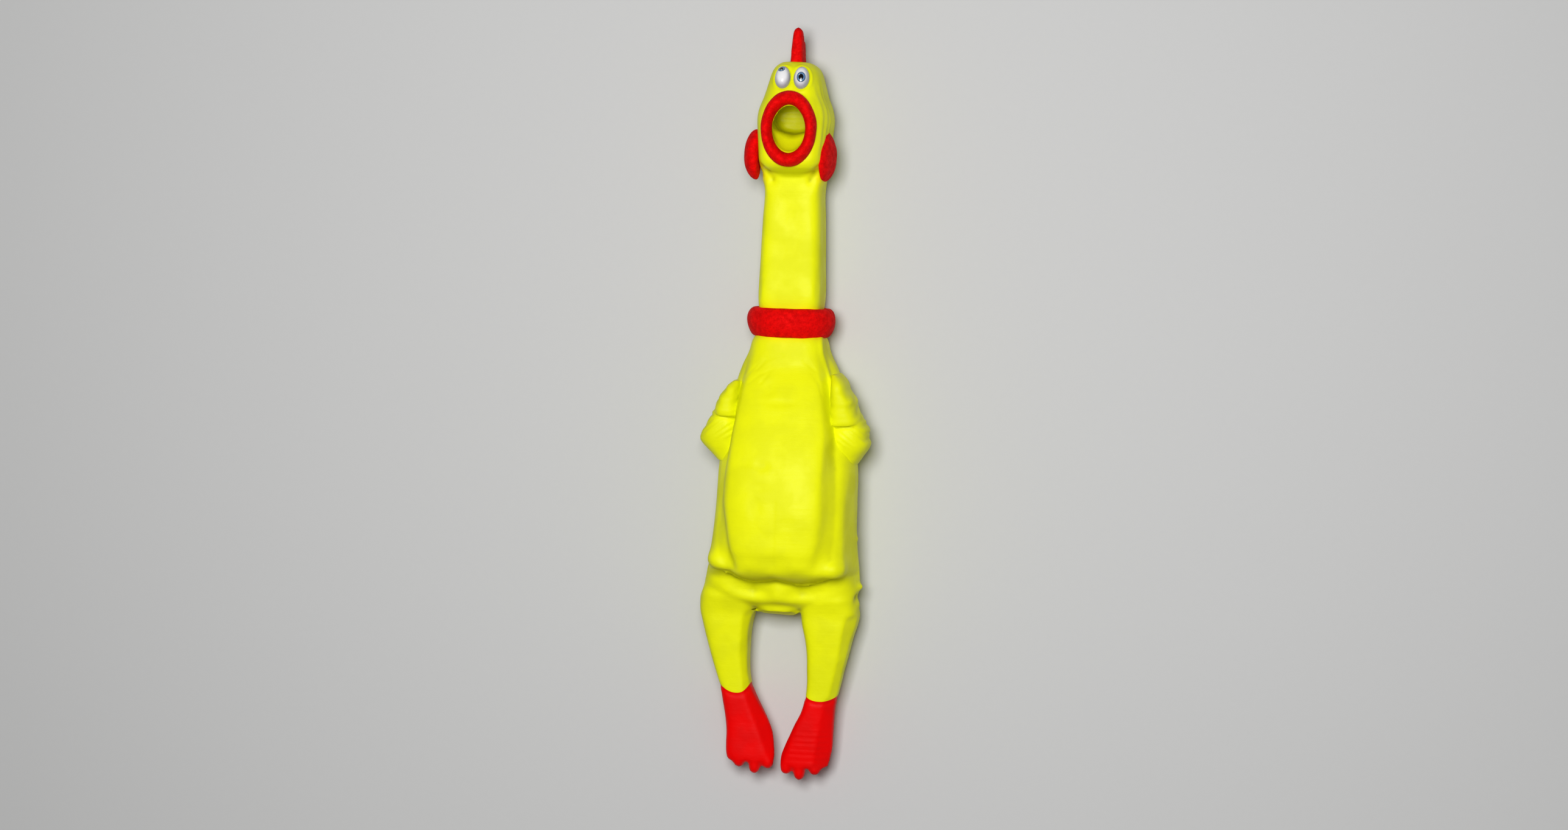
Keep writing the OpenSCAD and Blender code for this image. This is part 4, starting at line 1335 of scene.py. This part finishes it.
def red_rubber(obj, amount, scale, seed, body, *nodes):
    """Makes a piece a little uneven, notes its creases for painted shade and finishes it in matt red rubber.
    """
    clay = Clay(obj)
    clay.push(waves(clay.co, scale, seed) * amount)
    clay.refresh()
    set_mask(obj.data, "crease", hollows(obj.data, 5, 1.5))
    fix_on(obj, red_material(), "red_rubber", body, *nodes)


class CHICKEN_OT_collar(bpy.types.Operator):
    """Model the puffed collar round the neck"""

    bl_idname = "chicken.collar"
    bl_label = "Collar"

    def execute(self, context):
        bm = bmesh.new()
        out, bottom, top = COLLAR_HIGH[0], COLLAR_LOW[1], COLLAR_HIGH[1]
        # Depth inside the collar's outside, and height, from the inside of the lower edge round to that of
        # the upper one.
        profile = [
            *((6.9, bottom + 2.6), (6.2, bottom + 0.7), (4.6, bottom), (2.6, bottom + 1.2)),
            *((0.9, bottom + 4.6), (0, bottom + 8.6), (0.3, bottom + 12.0), (1.8, bottom + 14.9)),
            *((4.2, top), (6.3, top - 0.7), (7.2, top - 2.8), (7.6, bottom + 8.0)),
        ]
        ring = [bm.verts.new((out - inside, y, 0)) for inside, y in profile]
        edges = [bm.edges.new((a, b)) for a, b in zip(ring, ring[1:] + ring[:1])]
        bmesh.ops.spin(
            bm, geom=ring + edges, cent=(0, 0, 0), axis=(0, 1, 0), steps=48, angle=TURN, use_merge=True
        )
        bmesh.ops.remove_doubles(bm, verts=bm.verts, dist=0.001)
        bmesh.ops.translate(bm, vec=(0, 0, NECK_Z), verts=bm.verts)
        collar = subdivide(mesh_object("collar_puff", bm))
        red_rubber(collar, 0.18, 11, 11, "neck_base", "collar")
        return {"FINISHED"}


class CHICKEN_OT_lips(bpy.types.Operator):
    """Model the fat lips round the open mouth"""

    bl_idname = "chicken.lips"
    bl_label = "Lips"

    def execute(self, context):
        bm = bmesh.new()
        a = ring_angles(14)
        # The section sinks a little into the muzzle, and is fatter above and below the mouth than beside it.
        rise = np.where(np.sin(a) > 0, LIP_HIGH[2] - LIP_LOW[2], 2.2) * np.sin(a)
        rings = []
        for turn in ring_angles(48):
            fat = (6.0 + 2.3 * math.sin(turn) ** 2) / 2
            x = (LIP_HALF - fat) * math.cos(turn) + fat * np.cos(a) * math.cos(turn)
            y = MUZZLE_Y + (LIP_TALL - fat) * math.sin(turn) + fat * np.cos(a) * math.sin(turn) * 0.92
            rings.append(np.stack([x, y, MUZZLE_Z + rise], 1))
        loft(bm, rings, closed=False)
        bmesh.ops.bridge_loops(bm, edges=[e for e in bm.edges if e.is_boundary])
        red_rubber(subdivide(mesh_object("lips", bm)), 0.16, 9, 21, "head", "lip_ring")
        return {"FINISHED"}


# For each wattle: distances of its cheek side and its outside from the mid-line, and its lean in degrees. The
# left one lies against the cheek and the right one stands off it.
WATTLES = {LEFT: (16.8, 21.4, 13), RIGHT: (17.6, 25.6, 4)}
# Share of a wattle's outline, and share of its thickness from the cheek outwards.
WATTLE_ROWS = (
    *((0.30, 0.02), (0.62, 0.0), (0.90, 0.10), (1.00, 0.28), (0.97, 0.48)),
    *((0.84, 0.72), (0.60, 0.90), (0.32, 0.985), (0.10, 1.0)),
)


class CHICKEN_OT_wattles(bpy.types.Operator):
    """Model the two leaf-shaped wattles on the cheeks"""

    bl_idname = "chicken.wattles"
    bl_label = "Wattles"

    def execute(self, context):
        a = ring_angles(36)
        for side, word in SIDES.items():
            low, high = box_mm(f"{word}_wattle")
            _, mid_y, mid_z = (low + high) / 2
            tall = (high[1] - low[1]) / 2
            inner, outer, lean = WATTLES[side]
            bm = bmesh.new()
            rings = []
            for share, rise in WATTLE_ROWS:
                cup = 1.1 * (np.sin(a) * share) ** 2
                x = side * (inner + (outer - inner) * rise - cup)
                y = mid_y + tall * share * np.sin(a)
                z = mid_z + tall * 0.86 * share * np.cos(a) * (1 - 0.10 * np.sin(a))
                rings.append(np.stack([x, y, z], 1))
            loft(bm, rings)
            turn = Matrix.Rotation(math.radians(-lean * side), 3, "Y")
            centre = (side * (inner + outer) / 2, mid_y, mid_z)
            bmesh.ops.rotate(bm, cent=centre, matrix=turn, verts=bm.verts)
            wattle = subdivide(mesh_object(f"{word}_wattle_leaf", bm))
            red_rubber(wattle, 0.22, 8, 31 + side, "head", f"{word}_wattle")
        return {"FINISHED"}


class CHICKEN_OT_comb(bpy.types.Operator):
    """Model the comb with its three blunt points"""

    bl_idname = "chicken.comb"
    bl_label = "Comb"

    def execute(self, context):
        low, high = box_mm("comb")
        base = HEAD_HIGH[1] - 3.5
        middle_z = (low[2] + high[2]) / 2
        bm = bmesh.new()
        # Place along the comb, share of its height, half length and half thickness at the root of each point.
        points = ((6.2, 1.0, 6.0, 3.6), (0.2, 0.90, 5.2, 3.1), (-6.0, 0.74, 5.2, 2.7))
        for place, height, root, thick in points:
            rings = []
            z = middle_z + place
            for s in np.linspace(0, 1, 18):
                blunt = math.sqrt(max(1 - max((s - 0.84) / 0.16, 0) ** 2, 0.03))
                long = root * (1 - 0.34 * s**1.6) * blunt
                wide = thick * (1 - 0.34 * s**1.4) * blunt
                y = base + (high[1] - base) * height * s
                rings.append(oval(y, wide, z - long, z + long, 2.6, 0.3 * s - 0.3, 24))
            loft(bm, rings)
        comb = relax(fuse(mesh_object("comb_crest", bm), 0.5), 0.5, 10)
        red_rubber(comb, 0.14, 7, 41, "head", "comb")
        return {"FINISHED"}


# ---------- Eyes ----------

EYE_PITCH, EYE_OUT = 9.8, 4.2
EYE_HALF, EYE_TALL = 4.15, 6.2
# Where each eye looks, across and up, as shares of its half width and half height, then the radii of its iris
# and pupil and how much taller than wide they are.
LOOK = {LEFT: (0.08, -0.16, 2.3, 1.3, 1.2), RIGHT: (-0.16, 0.57, 1.9, 1.05, 0.92)}
# Place beside the middle of the iris, and radius of each glint, a small disc of painted highlight.
PAINTED_GLINTS = (((0.15, -0.95), 0.26), ((-0.90, 1.05), 0.22))
# Share of a disc's radius and of its lift, from under its edge to its middle.
DISC_ROWS = (
    *((1.0, -0.35), (1.0, 0.0), (0.985, 0.6), (0.94, 0.9)),
    *((0.80, 1.0), (0.55, 1.0), (0.28, 1.0), (0.06, 1.0)),
)


def brow_matrix(side):
    """The flat of the brow under one eye, as a matrix in millimetres."""
    return (
        Matrix.Translation((0, BROW_Y, BROW_Z))
        @ Matrix.Rotation(-BROW_TILT, 4, "X")
        @ Matrix.Translation((side * EYE_PITCH / 2, 0, 0))
    )


def on_brow(co, side):
    """Points read across, up and out from the middle of one eye."""
    back = np.array(brow_matrix(side).inverted())
    return (co @ back[:3, :3].T + back[:3, 3]).T


def brow_piece(name, side, rings):
    """A closed piece from rings laid across, up and out from the middle of one eye."""
    bm = bmesh.new()
    loft(bm, rings)
    bmesh.ops.transform(bm, matrix=brow_matrix(side), verts=bm.verts)
    made = mesh_object(name, bm)
    return made, on_brow(points_of(made.data), side)


def eyeball(name, side):
    """A white egg, a little narrower above than below."""
    a = ring_angles(48)
    rings = []
    for lat in np.linspace(-0.35, math.pi / 2 - 0.06, 20):
        share = math.cos(lat)
        u = EYE_HALF * share * np.cos(a) * (1 - 0.06 * np.sin(a) * share)
        v = EYE_TALL * share * np.sin(a)
        rings.append(np.stack([u, v, np.full(48, EYE_OUT * math.sin(lat))], 1))
    eye, (u, v, _) = brow_piece(name, side, rings)
    # The rim mask drives the painted shade at the eyeball's edge.
    set_mask(eye.data, "rim", np.clip(np.hypot(u / EYE_HALF, v / EYE_TALL), 0, 1))
    return eye


def disc_on_eye(name, side, radius, lift, at=(0.0, 0.0), stretch=1.0):
    """A small printed disc that follows the eyeball's dome. radius is in millimetres."""
    a = ring_angles(40)
    half, tall = EYE_HALF, EYE_TALL
    x, y = LOOK[side][0] * half + at[0], LOOK[side][1] * tall + at[1]
    rings = []
    for share, rise in DISC_ROWS:
        u = (x + radius * share * np.cos(a)) / half
        v = (y + radius * share * stretch * np.sin(a)) / tall
        reach = np.hypot(u, v)
        shrink = np.where(reach > 0.97, 0.97 / reach, 1)
        u, v = u * shrink, v * shrink
        out = EYE_OUT * np.sqrt(np.clip(1 - u**2 - v**2, 0, 1))
        n = np.stack([u / half, v / tall, out / EYE_OUT**2], 1)
        n /= np.linalg.norm(n, axis=1)[:, None]
        rings.append(np.stack([u * half, v * tall, out], 1) + n * lift * rise)
    made, (u, v, _) = brow_piece(name, side, rings)
    u, v = (u - x) / radius, (v - y) / (radius * stretch)
    reach, turn = np.hypot(u, v), np.arctan2(v, u)
    set_mask(made.data, "rim", np.clip(reach, 0, 1))
    spoke = made.data.attributes.new("spoke", "FLOAT_VECTOR", "POINT")
    rays = np.stack([np.cos(turn), np.sin(turn), reach * 0.15], 1)
    spoke.data.foreach_set("vector", rays.astype(np.float32).ravel())
    return made


class CHICKEN_OT_eyes(bpy.types.Operator):
    """Model the two eyes, which look different ways"""

    bl_idname = "chicken.eyes"
    bl_label = "Eyes"

    def execute(self, context):
        white, blue = eye_material(), iris_material()
        black = plain_material("Pupil", (0.004, 0.004, 0.006), 0.08, 0.00002, Coat_Weight=0.8)
        # The glint discs are painted highlights, standing in for the reflection of a light on the glossy eye.
        painted_highlight = plain_material("Glint", (0.85, 0.9, 0.95), 0.2, 0.00001)
        for side, word in SIDES.items():
            _, _, iris_size, pupil_size, tall = LOOK[side]
            eye = eyeball(f"{word}_eyeball", side)
            fix_on(eye, white, "eye_white", "head", f"{word}_eye")
            iris = disc_on_eye(f"{word}_iris_disc", side, iris_size, 0.10, stretch=tall)
            fix_on(iris, blue, "iris_blue", "head", f"{word}_iris")
            pupil = disc_on_eye(f"{word}_pupil_disc", side, pupil_size, 0.17, stretch=tall)
            fix_on(pupil, black, "pupil_black", "head", f"{word}_pupil")
            for number, (at, radius) in enumerate(PAINTED_GLINTS, 1):
                glint = disc_on_eye(f"{word}_glint_{number}", side, radius, 0.24, at)
                fix_on(glint, painted_highlight, "eye_white", "head")
        return {"FINISHED"}


# ---------- Squeaker ----------


class CHICKEN_OT_squeaker(bpy.types.Operator):
    """Finish the parts of the squeaker inside the neck"""

    bl_idname = "chicken.squeaker"
    bl_label = "Squeaker"

    def execute(self, context):
        finishes = {
            "squeaker_bung": plain_material("Bung rubber", (0.05, 0.05, 0.05), 0.7, 0.0001),
            "squeaker_barrel": plain_material("Barrel plastic", (0.78, 0.74, 0.62), 0.35, 0.00005),
            "reed_block": plain_material("Reed block plastic", (0.85, 0.33, 0.05), 0.4, 0.00005),
            "reed": plain_material("Reed brass", (0.80, 0.58, 0.22), 0.3, 0.00003, Metallic=1.0),
            "eye_washers": plain_material("Washer plastic", (0.75, 0.75, 0.75), 0.45, 0.00005),
        }
        finishes["squeaker_cap"] = finishes["squeaker_barrel"]
        for node, finish in finishes.items():
            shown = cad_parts[node]
            shown.data.materials.clear()
            shown.data.materials.append(finish)
        return {"FINISHED"}


# ---------- Stage ----------


def soft_light(name, place, size, watts, aim):
    data = bpy.data.lights.new(name, "AREA")
    data.shape = "RECTANGLE"
    data.size = data.size_y = size
    data.energy = watts
    light = linked(name, data)
    light.location = place
    light.rotation_euler = (Vector(aim) - Vector(place)).to_track_quat("-Z", "Y").to_euler()


class CHICKEN_OT_stage(bpy.types.Operator):
    """Lay the floor and set up the lights and the camera"""

    bl_idname = "chicken.stage"
    bl_label = "Stage"

    def execute(self, context):
        scene = context.scene
        stage = scene.chicken_stage
        low, high = (Vector(corner) for corner in CAD_BOX)
        bm = bmesh.new()
        bmesh.ops.create_grid(bm, x_segments=8, y_segments=8, size=2500)
        bmesh.ops.translate(bm, vec=(0, 0, low.z / MM), verts=bm.verts)
        floor = mesh_object("floor", bm)
        paper = Finish("Floor paper", 0.85, Specular_IOR_Level=0.2)
        grain = noise(paper.tree, 260, 3, paper.place)
        paper.colour(paper.mix(grain, tuple(stage.floor), tint(stage.floor, 0.985)))
        floor.data.materials.append(paper.material)

        middle = (low + high) / 2
        aim = Vector((middle.x - 0.0016, middle.y - 0.0046, 0.030))
        soft_light("key_light", (0.05, 0.26, 1.30), 0.4, stage.key, aim)
        soft_light("fill_light", (0.55, -0.35, 0.95), 0.9, stage.fill, aim)
        scene.world = bpy.data.worlds.new("Studio")
        scene.world.use_nodes = True
        ambient = scene.world.node_tree.nodes["Background"].inputs
        ambient["Color"].default_value = (1, 1, 1, 1)
        ambient["Strength"].default_value = 0.08

        data = bpy.data.cameras.new("camera")
        data.lens, data.sensor_width = 78, 36
        data.clip_start, data.clip_end = 0.05, 20
        camera = linked("camera", data)
        flat = math.cos(stage.lift)
        back = Vector((math.sin(stage.turn) * flat, math.sin(stage.lift), math.cos(stage.turn) * flat))
        camera.location = aim + back * 1.8
        look = (-back).to_track_quat("-Z", "Y")
        # The camera is first turned upright along the chicken, and then leans.
        lean = math.atan2((look @ Vector((1, 0, 0))).y, (look @ Vector((0, 1, 0))).y)
        camera.rotation_euler = (look @ Matrix.Rotation(stage.roll - lean, 4, "Z").to_quaternion()).to_euler()
        scene.camera = camera
        scene.view_settings.view_transform = "Standard"
        return {"FINISHED"}


# ---------- Panel and registration ----------

SETTINGS = {
    "chicken_skin": ChickenSkinSettings,
    "chicken_trim": ChickenTrimSettings,
    "chicken_eyes": ChickenEyeSettings,
    "chicken_stage": ChickenStageSettings,
}
OPERATORS = (
    CHICKEN_OT_skin,
    CHICKEN_OT_wings,
    CHICKEN_OT_collar,
    CHICKEN_OT_lips,
    CHICKEN_OT_wattles,
    CHICKEN_OT_comb,
    CHICKEN_OT_eyes,
    CHICKEN_OT_squeaker,
    CHICKEN_OT_stage,
)


class CHICKEN_PT_panel(bpy.types.Panel):
    """Settings and steps for the rubber chicken"""

    bl_label = "Rubber Chicken"
    bl_idname = "CHICKEN_PT_panel"
    bl_space_type = "VIEW_3D"
    bl_region_type = "UI"
    bl_category = "Chicken"

    def draw(self, context):
        for name in SETTINGS:
            settings = getattr(context.scene, name)
            column = self.layout.box().column()
            for label in settings.__annotations__:
                column.prop(settings, label)
        for operator in OPERATORS:
            self.layout.operator(operator.bl_idname)


CLASSES = (*SETTINGS.values(), *OPERATORS, CHICKEN_PT_panel)


def register():
    for cls in CLASSES:
        bpy.utils.register_class(cls)
    for name, cls in SETTINGS.items():
        setattr(bpy.types.Scene, name, PointerProperty(type=cls))


def unregister():
    for name in SETTINGS:
        delattr(bpy.types.Scene, name)
    for cls in reversed(CLASSES):
        bpy.utils.unregister_class(cls)


def main():
    register()
    for operator in OPERATORS:
        step = operator.bl_idname.split(".")[1]
        getattr(bpy.ops.chicken, step)()


if __name__ == "__main__":
    main()
